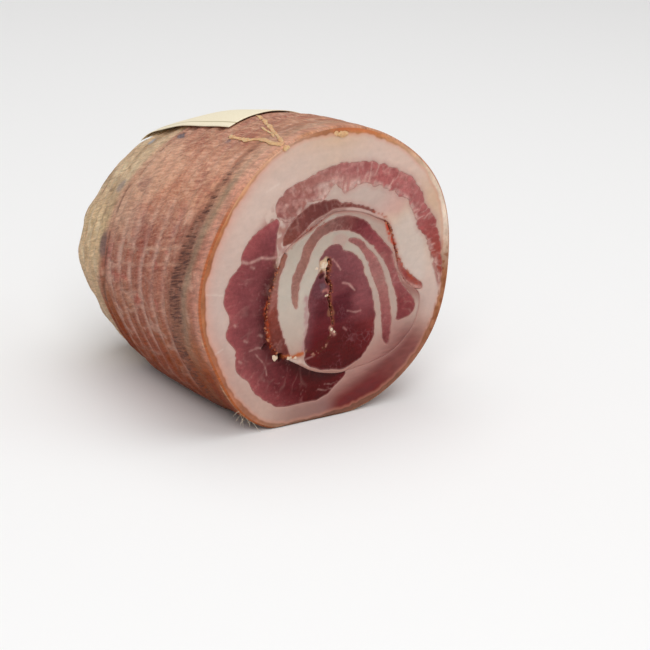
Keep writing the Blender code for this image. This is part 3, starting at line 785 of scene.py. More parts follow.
def paint_inner_fat(p, d):
    """Colour of the fat inside the seam; d is the distance to the nearest edge."""
    x, z = p[:, 0], p[:, 1]
    a, r = angle_and_radius(p)
    # darker low down and towards the right: partly painted shade
    c = along(((-50, "#9c7568"), (-40, "#b0897b"), (-25, "#beaa9d"), (-5, "#c2b5a8"), (15, "#b8a99b"),
               (35, "#ae9b91"), (60, "#a98c80")), z)
    c = mix(c, "#b3958a", ease(x, 12, 30) * 0.7)
    c = c * (1 + 0.05 * cloud(x, z, size=8.0, seed=81))[:, None]
    # darker along the seam, most where it gapes: painted shade in the gap over a faint pink line
    open_by = by_angle(SEAM_OPEN, a)
    near_seam = 1 - ease(seam_radius(a) - r, 0.1, 1.3)
    c = mix(c, "#9d6254", near_seam * np.clip(0.15 + 0.6 * open_by, 0, 0.8))
    # pink wash along the lean, stronger low down
    c = mix(c, "#b98b82", (1 - ease(d, 0.0, 0.9)) * 0.6)
    c = mix(c, "#9a6258", near_seam * 0.55 * ease(a, -34, -26) * (1 - ease(a, 18, 28)))
    on_right = ease(a, 0, 8) * (1 - ease(a, 60, 80))
    c = mix(c, "#a8786c", 0.5 * (1 - ease(seam_radius(a) - r, 0.8, 3.5)) * on_right)
    beside = ease(r - radius_at("mid_lean", 2, a), -0.6, 0.4)
    c = mix(c, "#8c5048", 0.75 * beside * ease(a, 76, 86) * (1 - ease(a, 104, 112)))
    # red tint and painted shadow low on the right
    c = redden_and_shade_low_right(c, p)
    c = mix(c, "#a9787c", 0.7 * mark(p, ((-13.4, -8), (-12.6, -16), (-12.6, -26), (-14.0, -33.0)),
                                     1.5, 0.9, 82))
    c = mix(c, "#b8633c", mark(p, ((-25, -34.4), (-20, -35.6), (-14, -35.0)), 0.8, 0.5, 83))
    c = mix(c, "#cdb2a6", 0.9 * mark(p, ((-22, -37.2), (-15.5, -38.6), (-10.0, -41.6)), 1.0, 0.6, 84))
    c = mix(c, "#b7948a", 0.6 * spot(p, 4.5, 17.5, 4.2, 85))
    c = mix(c, "#8c5046", 0.7 * ease(a, 60, 75) * (1 - ease(a, 100, 108)) * near_seam)
    return shared_marks(c, p)


def paint_outer_fat(p, d):
    """Colour of the outer turn of fat and its rind; d is the distance to the nearest edge."""
    x, z = p[:, 0], p[:, 1]
    a, r = angle_and_radius(p)
    depth = skin_radius(a) - RIND_TOP - r
    c = along(FAT_TONES, a)
    # whiter towards the lean on the left, pink under the rind
    c = mix(c, "#cbb6ab", 0.5 * ease(depth, 5, 12) * (1 - ease(a, 20, 40)) * ease(a, -150, -120))
    c = mix(c, "#d3a596", 0.55 * (1 - ease(depth, 3, 8)) * (1 - ease(a, -45, -20)) * ease(a, -140, -110))
    c = mix(c, "#ccbcb2", 0.8 * (1 - ease(r, 55, 62)) * ease(a, 50, 65) * (1 - ease(a, 110, 125)))
    c = mix(c, "#c69b92", 0.7 * spot(p, 33.0, 33.0, 9.0, 91))
    c = mix(c, "#bfa99f", 0.8 * (1 - ease(r, 50, 53)) * (1 - ease(np.abs(a), 35, 50)))
    # greyer low on the right, inside the turn: partly painted shade
    c = mix(c, "#a98c80", ease(a, 100, 118) * (1 - ease(a, 168, 180)) * (1 - ease(r, 58, 68)))
    # red tint and painted shadow low on the right
    c = redden_and_shade_low_right(c, p)
    c = c * (1 + 0.035 * cloud(x, z, size=12.0, seed=92) + 0.02 * noise(x, z, size=2.5, seed=93)
             + 0.02 * noise(x * 0.15, z - 0.05 * x, size=0.9, seed=103))[:, None]
    # paler scratches
    for line in (((-72.5, 3.4), (-66, 2.4), (-62.5, 1.6)), ((-66, -27), (-61, -24.8)),
                 ((-40, 48), (-33, 51)), ((44, 42), (52, 40))):
        c = mix(c, "#ddcbc0", 0.4 * mark(p, line, 0.45, 0.2, 94))
    # pink bleeding next to the lean and the seam
    c = mix(c, "#b98a80", (1 - ease(d, 0.0, 0.8)) * 0.45)
    on_top = 0.2 + 0.35 * ease(a, -12, 20) * (1 - ease(a, 70, 90))
    c = mix(c, "#bb938a", (1 - ease(d, 0.0, 3.2)) * ease(depth, 3.0, 6.0) * on_top)
    between = ease(a, -40, -35) * (1 - ease(a, -29, -24))
    c = mix(c, "#8c5450", 0.8 * ease(r, 38.5, 40) * (1 - ease(r, 42.5, 44.5)) * between)
    start = np.interp(a, (76, 84, 88, 92, 96, 100, 104), (60.0, 60.5, 61.0, 62.8, 65.0, 67.5, 70.0))
    c = mix(c, "#955048", 0.72 * ease(r, start - 0.7, start + 0.9) * ease(a, 78, 86) * (1 - ease(a, 99, 104))
            * ease(noise(x, z, size=3.0, seed=165), -0.9, -0.2))
    between = ease(a, -52, -46) * (1 - ease(a, -26, -16))
    c = mix(c, "#95605a", 0.55 * ease(r, 38, 40) * (1 - ease(r, 42, 44.5)) * between)
    c = mix(c, "#c08262", 0.7 * np.exp(-((a - 1) / 7.0) ** 2) * (1 - ease(depth, 2.2, 5.0)))
    # darker along the seam, most where it gapes: painted shade in the gap over a faint pink line
    seam_gap = r - seam_radius(a)
    seam_shade_and_stain = np.clip(0.1 + 0.6 * by_angle(SEAM_OPEN, a), 0, 0.75)
    c = mix(c, "#8e5a50", (1 - ease(seam_gap, 0.0, 1.0)) * seam_shade_and_stain)
    # threads of lean in the fat of the notch, and under the dark lean
    notch = ease(a, -64, -58) * (1 - ease(a, -44, -38)) * (1 - ease(r, 50, 56))
    threads = ease(noise(x * 0.8 + z * 0.3, z * 0.6 - x * 0.2, size=1.7, seed=169), -0.05, 0.4)
    c = mix(c, "#9a5c56", 0.62 * notch * threads)
    c = mix(c, "#d0b8ac", 0.5 * notch * ease(noise(x * 0.9, z * 0.5, size=1.9, seed=170), 0.1, 0.5))
    under = 1 - ease(r - radius_at("dark_lean", 1, a), -0.5, 0.3)
    under = under * ease(a, -50, -42) * (1 - ease(a, 10, 18))
    c = mix(c, "#86544c", 0.7 * under * ease(noise(x, z, size=3.0, seed=166), -0.9, -0.1))
    flecked = ease(noise(x, z, size=1.5, seed=96), -0.3, 0.4)
    c = mix(c, "#a8796c", 0.6 * spot(p, -30.2, 27.0, 4.2, 95) * flecked)
    return shared_marks(paint_rind(c, p, a, r, depth), p)


def paint_rind(c, p, a, r, depth):
    """Orange-brown rind at the rim, thinner or paler in places; depth is the distance to the skin."""
    x, z = p[:, 0], p[:, 1]
    round_way = np.radians(a) * MEAN_RADIUS
    thick = by_angle(RIND_DEPTHS, a)
    thick = thick * (1 + 0.22 * noise(round_way, 0.0, size=9.0, seed=97)
                     + 0.18 * noise(round_way, 0.0, size=2.5, seed=98))
    rind = along(RIND_TONES, a)
    rind = rind * (1 + 0.14 * noise(round_way, r * 2.4, size=3.2, seed=99)
                   + 0.16 * noise(round_way, r * 0.6, size=6.5, seed=102)
                   + 0.10 * noise(x, z, size=0.9, seed=100))[:, None]
    c = mix(c, "#d0917a", 0.5 * (1 - ease(depth, thick * 0.9, thick * 0.9 + 2.6)))
    c = mix(c, rind, 1 - ease(depth, thick - 0.6, thick + 0.5))
    inner_line = np.exp(-((depth - thick + 0.35) / 0.4) ** 2)
    c = mix(c, rind * 0.7, 0.6 * inner_line * (1 - ease(a, 30, 45) * (1 - ease(a, 80, 88))))
    outer_line = np.exp(-((depth - 0.5) / 0.4) ** 2)
    c = mix(c, "#d8a884", 0.5 * outer_line * ease(-a, 20, 35) * (1 - ease(-a, 50, 65)))
    c = mix(c, "#8a4f2e", 0.8 * ease(noise(x, z, size=1.8, seed=101), 0.0, 0.5) * (1 - ease(depth, 2.5, 5.0))
            * ease(a, 82, 90) * (1 - ease(a, 118, 130)))
    return mix(c, "#c96a3e", 0.55 * (1 - ease(depth, 0.8, 2.4)) * ease(a, -6, 2) * (1 - ease(a, 14, 24)))


def cut_depth(name, p, d, recess):
    """How far each point of the cut lies behind its plane, in millimetres."""
    a, r = angle_and_radius(p)
    deep = face_relief(p) + recess * ease(d, 0.0, 1.0)
    at_seam = np.abs(r - seam_radius(a))
    deep = deep + by_angle(SEAM_OPEN, a) * np.exp(-(at_seam / 0.7) ** 2) * (
        0.6 + 0.4 * noise(p[:, 0], p[:, 1], size=2.4, seed=111))
    for (sideways, up, wide, seed), well, _, _ in PITS:
        deep = deep + well * spot(p, sideways, up, wide, seed)
    deep = deep + 0.16 * np.exp(-(d / 0.35) ** 2)
    if name == "core_lean":
        split, half, well = split_at(p)
        deep = deep + well * (1 - ease(split, half * 0.35, half + 0.25))
    if name == "outer_fat":
        deep = np.where(skin_radius(a) - r < 1.3, 0.0, deep)
    return np.maximum(deep, -0.4)


def solid_layer(name, keep, holes, paint, recess, back, open_rim=None):
    """A layer with a fine painted cut face, its sides running down the roll and a closed back."""
    p, tris = fill(keep, holes, STEP)
    d = nearness(p, [keep] + list(holes))
    verts = [place(p[:, 0], p[:, 1], 0.0)]
    verts[0][:, 1] += cut_depth(name, p, d, recess) * MM
    colour = paint(p, d)
    edges = rim_edges(tris)
    if open_rim is not None:
        # the casing covers this side
        a, r = angle_and_radius(p)
        under = skin_radius(a) - r
        edges = [e for e in edges if min(under[e[0]], under[e[1]]) > open_rim]
    ring = sorted({v for e in edges for v in e})
    slot_of = {v: k for k, v in enumerate(ring)}
    count = len(p)
    depths = SIDE_ROWS + (back,)
    start = []
    for y in depths:
        start.append(count)
        verts.append(place(p[ring, 0], p[ring, 1], y))
        count += len(ring)
    quads = []
    for x, y in edges:
        previous = (x, y)
        for s in start:
            now = (s + slot_of[x], s + slot_of[y])
            quads.append((previous[0], previous[1], now[1], now[0]))
            previous = now
    # the back is hidden, so it is coarse
    back_p, back_t = fill(even(keep, 2.5), [even(h, 2.5) for h in holes], 9.0)
    verts.append(place(back_p[:, 0], back_p[:, 1], back))
    every = [tuple(f) for f in tris[:, ::-1]] + quads + [tuple(f) for f in back_t + count]
    flat = np.vstack([p] + [p[ring]] * len(depths) + [back_p])
    hidden = np.tile(colour.mean(0), (len(back_p), 1))
    colours = np.vstack([colour] + [colour[ring]] * len(depths) + [hidden])
    return new_mesh(name, np.vstack(verts), every, colours, uv=flat / 100.0)


# Width of a triangle on the cut, and the depths of the rows down a layer's sides
STEP = 0.52
SIDE_ROWS = (1.6, 42.0, 84.0, 106.0)

rim_angles = 360.0 * np.arange(400) / 400
rim = polar(rim_angles, skin_radius(rim_angles) - CASING_INSET)
# pressed flat, a hair above the floor
rim[:, 1] = np.maximum(rim[:, 1], 0.15 - AXIS_HEIGHT)
seam_angles = np.arange(0, 360, 0.75)
seam_in = polar(seam_angles, seam_radius(seam_angles))
seam_out = polar(seam_angles, seam_radius(seam_angles) + SEAM_GAP)
core_line = even(polar(*spline([(a, r) for a, r in CORE] + [(360, CORE[0][1])], 8)[:-1].T), 0.5)
ragged = (0.42 * noise(core_line[:, 0], core_line[:, 1], size=3.2, seed=28)
          + 0.24 * noise(core_line[:, 0], core_line[:, 1], size=1.3, seed=29))
core_line = spread(core_line, ragged[:, None])

pieces = {}
pockets = {"outer": [], "inner": []}
for name in LAYERS:
    turn = "inner" if name in ("strip_lean", "mid_lean", "thin_lean") else "outer"
    line = outline(name, SEAM_GAP if turn == "outer" else 0.0)
    reach = -POCKET_REACH if turn == "outer" else POCKET_REACH
    pockets[turn].append(spread(outline(name, reach), POCKET_GAP))
    pieces[name] = solid_layer(name, line, [], lambda p, d, n=name: paint_lean(n, p, d), 0.22, LAYER_LENGTH)
pockets["inner"].append(spread(core_line, POCKET_GAP))
pieces["core_lean"] = solid_layer("core_lean", core_line, [], paint_core, 0.3, LAYER_LENGTH)
pieces["inner_fat"] = solid_layer("inner_fat", seam_in, pockets["inner"], paint_inner_fat, 0.0, LAYER_LENGTH)
pieces["outer_fat"] = solid_layer("outer_fat", rim, [seam_out] + pockets["outer"], paint_outer_fat, 0.0,
                                  LAYER_LENGTH + 0.2, open_rim=RIM_OPEN)


# Dried casing round the roll

# Depths in the roll against angle, as read round the left side
STROKE_BAND = ((-180, 24), (-150, 24), (-120, 25), (-113, 26), (-101, 22), (-91, 20.8), (-81, 19.2),
               (-67, 18), (-54, 16.5), (-38, 16), (0, 17), (40, 19), (90, 22), (140, 22), (180, 24))
STROKE_WIDTH = ((-180, 2.0), (-130, 3.5), (-113, 4.2), (-95, 4.6), (-75, 4.3), (-60, 3.0), (-45, 2.4),
                (-30, 1.4), (0, 1.0), (40, 2.0), (90, 4.5), (140, 3.0), (180, 2.0))
CREASE_LINE = ((-180, 100), (-115, 101), (-101, 98), (-92, 94), (-86, 92), (-74, 92), (-58, 92.5),
               (-47, 86), (-29, 80), (0, 84), (40, 92), (80, 96), (130, 99), (180, 100))
# Colour of the casing by angle: deeper and more orange low down, partly as painted shade and warm reflected
# light
CASING_TONES = ((-180, "#6c3a20"), (-150, "#74320e"), (-135, "#7f3710"), (-122, "#8a3f18"), (-113, "#955638"),
                (-104, "#a06850"), (-90, "#a66b59"), (-78, "#ac705d"), (-66, "#ba8470"),
                (-54, "#cc9478"), (-42, "#d09a80"), (-30, "#ba866e"), (-12, "#b28069"), (10, "#b8866c"),
                (40, "#bf8d6e"), (70, "#b28060"), (95, "#a06c50"), (130, "#8a553c"), (180, "#6e4028"))


BEIGE_TONES = ((-180, "#a5825f"), (-130, "#b4957a"), (-105, "#c2a383"), (-90, "#ccad8a"), (-75, "#d0b38d"),
               (-60, "#c6a888"), (-45, "#d2b695"), (-30, "#c8a98a"), (0, "#c6a382"), (90, "#c2a080"),
               (180, "#a5825f"))
# How dark the crease before the gathered end is, by angle: partly painted shade in the fold
CREASE_DARK = ((-180, 0.3), (-115, 0.9), (-100, 0.8), (-88, 1.0), (-80, 1.0), (-75, 0.4), (-70, 0.25),
               (-64, 1.0), (-55, 0.8), (-44, 1.0), (-34, 0.9), (-25, 0.4), (0, 0.3), (90, 0.6), (180, 0.3))
# Pale folds that run along the roll: depth and angle, strength
LONG_FOLDS = ((((92, -77), (87, -79), (79, -81), (61, -80), (41.5, -77), (27, -74.5), (15.5, -71)), 0.8),
              (((83, -88), (56.5, -86), (35, -82), (10, -78.5)), 0.45),
              (((90, 96), (70, 93), (44, 95), (14, 90)), 0.6))
# Slate-blue specks of dried blood and pepper dust: depth, angle, width, tone, strength
SPECKS = ((79, -29, 2.6, "#575a66", 0.9), (104, -30.5, 2.4, "#949ba3", 0.75), (37, -29, 1.8, "#7b6a70", 0.7),
          (101, -56, 3.8, "#9a8a86", 0.65), (76, -54, 6.0, "#95675e", 0.55), (60, 70, 2.2, "#5f5a62", 0.6),
          (108, -20, 2.0, "#77736f", 0.6), (30, 120, 2.4, "#6a6262", 0.5))


def net_phase(a, y):
    """Which cord of the net lies at a depth: whole numbers are the cords' own lines."""
    return (y - NET_FIRST + CORD_LEAN * np.sin(2 * a + 1.0)) / NET_PITCH


def under_label(angle, y):
    """Gentle bump of the skin that carries the back end of the label."""
    return LABEL_BUMP * np.exp(-((angle + 27) / 17.0) ** 2 - ((y - 116) / 12.0) ** 2)


def skin_relief(angle, y):
    """The solid's net rings, groove, crease and folds, with finer wrinkles on them."""
    a = np.radians(angle)
    wave = 0.5 * np.sin(2 * a + 0.6) * ease(y, 4, 30) + 0.35 * np.sin(3 * a + y / 21.0)
    wave = wave * ease(y, 3, 24)
    phase = net_phase(a, y)
    rings = -NET_DEPTH * np.maximum(np.cos(2 * np.pi * phase), -0.45)
    rings = rings * ease(y, NET_FIRST - 9, NET_FIRST) * (1 - ease(y, NET_LAST, NET_LAST + 6))
    groove = -0.6 * np.exp(-((y - BAND_PLACE) / 5.0) ** 2)
    crease = -1.7 * np.exp(-((y - CREASE_PLACE - 4 * np.sin(a + 2.2)) / 3.2) ** 2)
    crease = crease * (0.55 + 0.45 * np.sin(2 * a - 0.5))
    folds = 0.55 * np.cos(2 * np.pi * (y - 104) / 8.0) * ease(y, 98, 108)
    pleats = (0.7 * np.cos(11 * a + 0.4) + 0.5 * np.cos(17 * a + 2.0)) * ease(y, 106, 136)
    x, z = MEAN_RADIUS * np.sin(a), MEAN_RADIUS * np.cos(a)
    inner = ease(y, 2.0, 7.0)
    fine = 0.22 * cloud(x, y * 1.3, z, size=9.0, seed=201, layers=4) * inner
    wrinkle = 0.12 * noise(x * 0.3, y, z * 0.3, size=2.6, seed=202) * inner
    end = ease(y, 96, 108)
    creases = -0.45 * np.abs(noise(x * 0.28, y, z * 0.28, size=7.5, seed=203)) ** 0.6 * end
    creases = creases + 0.16 * noise(x * 0.2, y, z * 0.2, size=3.4, seed=204) * end
    sharp = -0.7 * np.exp(-((y - by_angle(CREASE_LINE, angle)) / 1.1) ** 2)
    string = 0.2 * np.exp(-((phase - np.round(phase)) * NET_PITCH / 1.5) ** 2)
    string = string * ease(y, 20, 26) * (1 - ease(y, 84, 90))
    string = string + 0.16 * noise(x, y * 0.28, z, size=2.2, seed=222) * inner
    return (wave + rings + groove + crease + folds + pleats + fine + wrinkle + creases + sharp + string
            + under_label(angle, y))


def paint_net(c, angle, y, bent, low):
    """Redder panes between the net's rings, pale bands over its cords and a dark line of painted shade beside
    each.
    """
    a = np.radians(angle)
    x, z = MEAN_RADIUS * np.sin(a), MEAN_RADIUS * np.cos(a)
    bx, by, bz = bent
    body = ease(y, 22, 30) * (1 - ease(y, 84, 96))
    phase = net_phase(a, y)
    off = (phase - np.round(phase)) * NET_PITCH
    patch = ease(cloud(bx, by * 0.8, bz, size=11.0, seed=213), -0.25, 0.35)
    c = mix(c, "#90503f", body * low * ease(np.abs(off), 1.2, 3.4) * (0.15 + 0.55 * patch))
    c = mix(c, "#a4665a", body * (1 - low) * 0.35 * patch)
    signed = off + 1.5 * noise(x, y * 0.1, z, size=11.0, seed=207)
    broken = ease(noise(bx, by, bz, size=9.0, seed=214), -0.5, 0.3)
    c = mix(c, "#c8a094", body * low * 0.62 * np.exp(-(np.abs(signed) / 2.0) ** 2.2) * (0.35 + 0.65 * broken))
    # painted shade along one side of each ring
    c = mix(c, "#87473e", body * low * 0.45 * np.exp(-((signed - 2.9) / 1.1) ** 2) * broken)
    c = mix(c, "#c6a08f", body * low * 0.4 * ease(noise(bx, by * 0.35, bz, size=4.2, seed=223), 0.1, 0.5))
    return mix(c, "#a54a44", body * low * 0.5 * ease(noise(bx, by, bz, size=5.0, seed=224), 0.3, 0.65)
               * (1 - ease(-angle, 98, 108)))


def paint_long_folds(c, angle, y):
    """Pale folds of the casing that cross the net's rings."""
    lines = np.zeros(len(y))
    for route, strength in LONG_FOLDS:
        d, _ = from_line(np.stack([y, angle * PER_DEGREE], -1), [(r[0], r[1] * PER_DEGREE) for r in route])
        d = d + 0.5 * noise(y, angle * PER_DEGREE, size=6.0, seed=208)
        fade = 0.55 + 0.45 * noise(y, angle, size=8.0, seed=209)
        lines = np.maximum(lines, strength * fade * np.exp(-(d / 0.75) ** 2))
    return mix(c, "#d6ae97", lines)


def paint_by_the_cut(c, angle, y, left):
    """Grey-green behind the cut, then pink, then the orange line of the rim."""
    a = np.radians(angle)
    x, z = MEAN_RADIUS * np.sin(a), MEAN_RADIUS * np.cos(a)
    behind = np.exp(-((y - by_angle(STROKE_BAND, angle) + 7.5) / 3.6) ** 2)
    c = mix(c, "#95816b", 0.75 * left * behind)
    c = mix(c, "#c68f7c", 0.8 * (1 - ease(y, 2.5, 8.5)) * left)
    c = mix(c, "#c08a62", 0.6 * (1 - ease(y, 0.8, 3.0)) * (0.5 + 0.5 * noise(x, 0.0, z, size=9.0, seed=215))
            * (0.35 + 0.65 * ease(np.abs(angle + 85), 30, 60)))
    edge_on = ease(-angle, 45, 62) * (1 - ease(-angle, 140, 158))
    c = mix(c, "#ac603a", 0.9 * (1 - ease(y, 0.4, 1.3)) * edge_on)
    return mix(c, "#ddb690", 0.75 * np.exp(-((y - 1.6) / 0.5) ** 2) * edge_on * ease(-angle, 96, 112)
               * ease(noise(x, 0.0, z, size=7.0, seed=227), -0.2, 0.4))


def paint_far_end(c, angle, y, bent, far):
    """Beige gathered end, with painted light and shade on its folds and on the pleats that run to its middle.
    """
    a = np.radians(angle)
    bx, by, bz = bent
    beige = along(BEIGE_TONES, angle)
    beige = beige * (1 + 0.12 * noise(bx * 0.3, by, bz * 0.3, size=4.0, seed=216)
                     + 0.08 * cloud(bx, by, bz, size=14.0, seed=217))[:, None]
    c = mix(c, beige, far)
    # pale and dark sides of the folds: painted light and shade
    folds = noise(bx * 0.25, by, bz * 0.25, size=3.4, seed=218)
    c = mix(c, "#e4cfae", far * ease(folds, 0.2, 0.65) * 0.5)
    c = mix(c, "#957659", far * ease(-folds, 0.25, 0.7) * 0.5)
    # pale and dark sides of the pleats: painted light and shade
    pleat = noise(9 * np.cos(a), 9 * np.sin(a), 0.05 * y, size=1.2, seed=229)
    gather = ease(y, 118, 136)
    c = mix(c, "#8c6c4e", 0.55 * gather * ease(pleat, 0.15, 0.6))
    return mix(c, "#e0caa8", 0.4 * gather * ease(-pleat, 0.2, 0.65))


def paint_casing(angle, y):
    """Colour, and the strengths of the dark strokes and of the net's fine wrinkles."""
    a = np.radians(angle)
    x, z = MEAN_RADIUS * np.sin(a), MEAN_RADIUS * np.cos(a)
    # the same place bent a little, so that blotches have no straight sides
    bx, by, bz = (v + 3.0 * noise(x, y, z, size=6.5, seed=s) + 1.4 * noise(x, y, z, size=2.7, seed=s + 3)
                  for v, s in ((x, 301), (y, 302), (z, 303)))
    c = along(CASING_TONES, angle)
    c = c * (1 + 0.12 * cloud(x, y, z, size=16.0, seed=211)
             + 0.10 * cloud(bx, by, bz, size=4.0, seed=212))[:, None]
    mottle = (cloud(bx, by, bz, size=9.0, seed=205, layers=4)
              + 0.35 * noise(x * 0.4, y * 1.6, z * 0.4, size=3.0, seed=206))
    upper = 0.12 + 0.88 * np.where(angle < 0, ease(angle, -119, -92), 1 - ease(angle, 92, 125))
    c = mix(c, "#d4ab96", ease(mottle, 0.05, 0.45) * 0.5 * upper)
    c = mix(c, "#955247", ease(-mottle, 0.05, 0.45) * 0.5 * upper)
    low = np.interp(np.abs(angle), (0, 50, 68, 78, 118, 135, 180), (0.15, 0.25, 0.6, 1.0, 1.0, 0.35, 0.2))
    c = paint_net(c, angle, y, (bx, by, bz), low)
    c = paint_long_folds(c, angle, y)
    # salmon ground with pale crackle high on the left
    salmon = np.exp(-((angle + 50) / 15.0) ** 2 - ((y - 54) / 17.0) ** 2)
    c = mix(c, "#c27c60", 0.55 * salmon)
    # pale, browner part before the crease
    c = mix(c, "#c8a288", 0.6 * ease(y, 66, 84) * ease(-angle, 25, 40) * (1 - ease(-angle, 70, 85)))
    left = np.interp(np.abs(angle), (0, 20, 35, 100, 112, 122, 180), (0.35, 0.5, 1.0, 1.0, 0.6, 0.25, 0.1))
    c = paint_by_the_cut(c, angle, y, left)
    # band of dark strokes: a stain here, its strokes in the material
    band = by_angle(STROKE_BAND, angle)
    width = by_angle(STROKE_WIDTH, angle)
    ragged = y + 1.3 * noise(x, 0.0, z, size=8.0, seed=220)
    near = np.exp(-(np.abs(ragged - band) / (width * 1.6)) ** 2.4)
    full = np.interp(width, (1, 3, 5), (0.4, 0.8, 1.0))
    c = mix(c, "#7e5647", 0.8 * near * np.clip(left + 0.2, 0, 1) * full)
    strokes = np.clip(1.3 * near, 0, 1) * np.interp(width, (1.0, 2.0, 3.0, 5.0), (0.72, 0.88, 0.95, 1.0))
    strokes = strokes * (0.86 + 0.14 * ease(noise(x, y * 0.4, z, size=6.0, seed=228), -0.5, 0.1))
    edge_line = by_angle(CREASE_LINE, angle)
    far = ease(y, edge_line + 2, edge_line + 9)
    c = paint_far_end(c, angle, y, (bx, by, bz), far)
    # dark line along the crease: partly painted shade in the fold
    c = mix(c, "#604034", 0.9 * by_angle(CREASE_DARK, angle) * np.exp(-((y - edge_line) / 1.2) ** 2)
            * (0.3 + 0.7 * ease(noise(x, 0.0, z, size=5.0, seed=219), -0.4, 0.4)))
    # single blotches: salmon high up, red lower down, pale behind the cut, purple at the crease
    pts = np.stack([y, angle * PER_DEGREE], -1)
    c = mix(c, "#dcae92", 0.55 * spot(pts, 72, -46 * PER_DEGREE, 16, 225) * (1 - far))
    c = mix(c, "#8a4038", 0.5 * spot(pts, 62, -75 * PER_DEGREE, 8, 226))
    c = mix(c, "#d6a68e", 0.5 * (1 - ease(y, 9, 16)) * ease(-angle, 14, 24) * (1 - ease(-angle, 36, 48)))
    lens = np.exp(-((angle + 83) / 6.5) ** 2 - ((y - 97.5) / 3.6) ** 2)
    c = mix(c, "#7a605c", 0.85 * ease(lens, 0.15, 0.75))
    for depth, turn, wide, tone, amount in SPECKS:
        c = mix(c, tone, amount * spot(pts, depth, turn * PER_DEGREE, wide, 221))
    body = ease(y, 22, 30) * (1 - ease(y, 84, 96))
    net = np.clip(body * (1 - 0.5 * low) + 0.4 * salmon, 0, 1) * upper
    return c, np.stack([strokes, net, np.zeros(len(y))], -1)


# Places round the casing, its last open ring, and the depth that the far end's paint starts and ends at
AROUND = 480
LAST_RING = 139.8
END_PAINT = (140.0, 210.0)
# How the skin turns in at the cut
RIM_ROUND = 1.1
# The far end closes in rings: share of the radius, share of the bulge
END_RINGS = ((1.0, 0.0), (0.95, 0.22), (0.83, 0.55), (0.64, 0.83), (0.42, 0.98), (0.2, 0.95), (0.03, 0.8))
END_START = BODY_LENGTH - 1.2


def side_rings(angles, turned, depths):
    """Rings of the skin down the roll, rounded over where they meet the cut."""
    rings = []
    for y in depths:
        radius = skin_radius(angles) + skin_relief(turned, np.full(AROUND, y))
        if y < RIM_ROUND:
            radius = radius - CASING_INSET * (1 - math.sqrt(1 - (1 - y / RIM_ROUND) ** 2))
        at = polar(angles, radius)
        ring = place(at[:, 0], at[:, 1], y)
        ring[:, 2] = np.maximum(ring[:, 2], 0.0)
        rings.append(ring)
    return rings


def end_ring(angles, turned, share, rise):
    """One pleated ring of the gathered far end."""
    radius = (skin_radius(angles) + skin_relief(turned, np.full(AROUND, LAST_RING))) * share
    at = polar(angles, radius)
    ring = place(at[:, 0], at[:, 1], BODY_LENGTH)
    a = np.radians(angles)
    bite = share * (1 - share) * 4
    swell = noise(22 * np.sin(a), share * 3.0, 22 * np.cos(a), size=3.0, seed=231)
    fold = np.abs(noise(16 * np.sin(a), share * 2.0, 16 * np.cos(a), size=2.6, seed=232))
    pleat = 0.8 * np.cos(13 * a + 0.7) * bite + 0.9 * swell * bite - fold * bite
    ring[:, 1] = (END_START + END_BULGE * rise + pleat + CUT_PLACE) * MM
    return ring


def casing():
    """The skin of the roll, from the rim of the cut to the closed far end."""
    angles = 360.0 * np.arange(AROUND) / AROUND
    turned = np.where(angles > 180, angles - 360, angles)
    depths = np.concatenate([[0.0, 0.25, 0.6, 1.1, 1.7, 2.4], np.arange(3.2, LAST_RING, 0.75), [LAST_RING]])
    rings = side_rings(angles, turned, depths)
    closing = spline(END_RINGS, 6)[1:]
    rings += [end_ring(angles, turned, share, rise) for share, rise in closing]
    middle = np.array([[SIDE_SHIFT, END_START + END_BULGE * 0.78 + CUT_PLACE,
                        place(0.0, 0.0, BODY_LENGTH)[2] / MM]]) * MM
    points = np.vstack(rings + [middle])
    k = np.arange(AROUND)
    n = (k + 1) % AROUND
    last = (len(rings) - 1) * AROUND
    quads = np.vstack([np.stack([r + k, r + AROUND + k, r + AROUND + n, r + n], -1)
                       for r in range(0, last, AROUND)])
    tips = [(last + i, len(points) - 1, last + (i + 1) % AROUND) for i in range(AROUND)]
    start, stop = END_PAINT
    end_depths = np.array([start + (stop - start) * (1 - share) for share, _ in closing])
    y = np.concatenate([np.repeat(depths, AROUND), np.repeat(end_depths, AROUND), [stop]])
    a = np.concatenate([np.tile(turned, len(rings)), [0.0]])
    colour, marks = paint_casing(a, y)
    # the net's threads lean a little against the roll's length
    flat = np.stack([np.radians(a) * MEAN_RADIUS + 0.3 * y, y], -1) / 100.0
    return new_mesh("casing", points, quads.tolist() + tips, colour, marks, flat)


pieces["casing"] = casing()


# Label, strips of casing, frayed yarn and crumbs

def on_skin(y, angle, lift):
    """Place on the casing at a depth and an angle, a little above it."""
    angle, y = np.asarray(angle, float), np.asarray(y, float)
    at = polar(angle, skin_radius(angle) + skin_relief(angle, y) + lift)
    return place(at[:, 0], at[:, 1], y)


def ribbon(route, wide, thick, lift, ragged, seed, sides=8):
    """Flat strand lying on the skin along places given as depth and angle."""
    line = spline(route, 12)
    mid = on_skin(line[:, 0], line[:, 1], lift)
    up = on_skin(line[:, 0], line[:, 1], lift + 1.0) - mid
    up /= np.linalg.norm(up, axis=1)[:, None]
    ahead = np.gradient(mid, axis=0)
    ahead /= np.linalg.norm(ahead, axis=1)[:, None]
    across = np.cross(ahead, up)
    verts, faces = [], []
    s = np.arange(len(line))
    swell = 1 + ragged * noise(s, 0.0, size=5.0, seed=seed)
    taper = np.clip(np.minimum(s + 0.6, len(s) - 0.4 - s) / 3.0, 0.15, 1.0)
    for i in range(len(line)):
        for j in range(sides):
            t = 2 * math.pi * j / sides
            verts.append(mid[i] + MM * swell[i] * taper[i] * (across[i] * wide / 2 * math.cos(t)
                                                              + up[i] * thick / 2 * math.sin(t)))
    for i in range(len(line) - 1):
        for j in range(sides):
            m = (j + 1) % sides
            faces.append((i * sides + j, i * sides + m, (i + 1) * sides + m, (i + 1) * sides + j))
    faces += [tuple(range(sides))[::-1], tuple(range((len(line) - 1) * sides, len(line) * sides))]
    return verts, faces


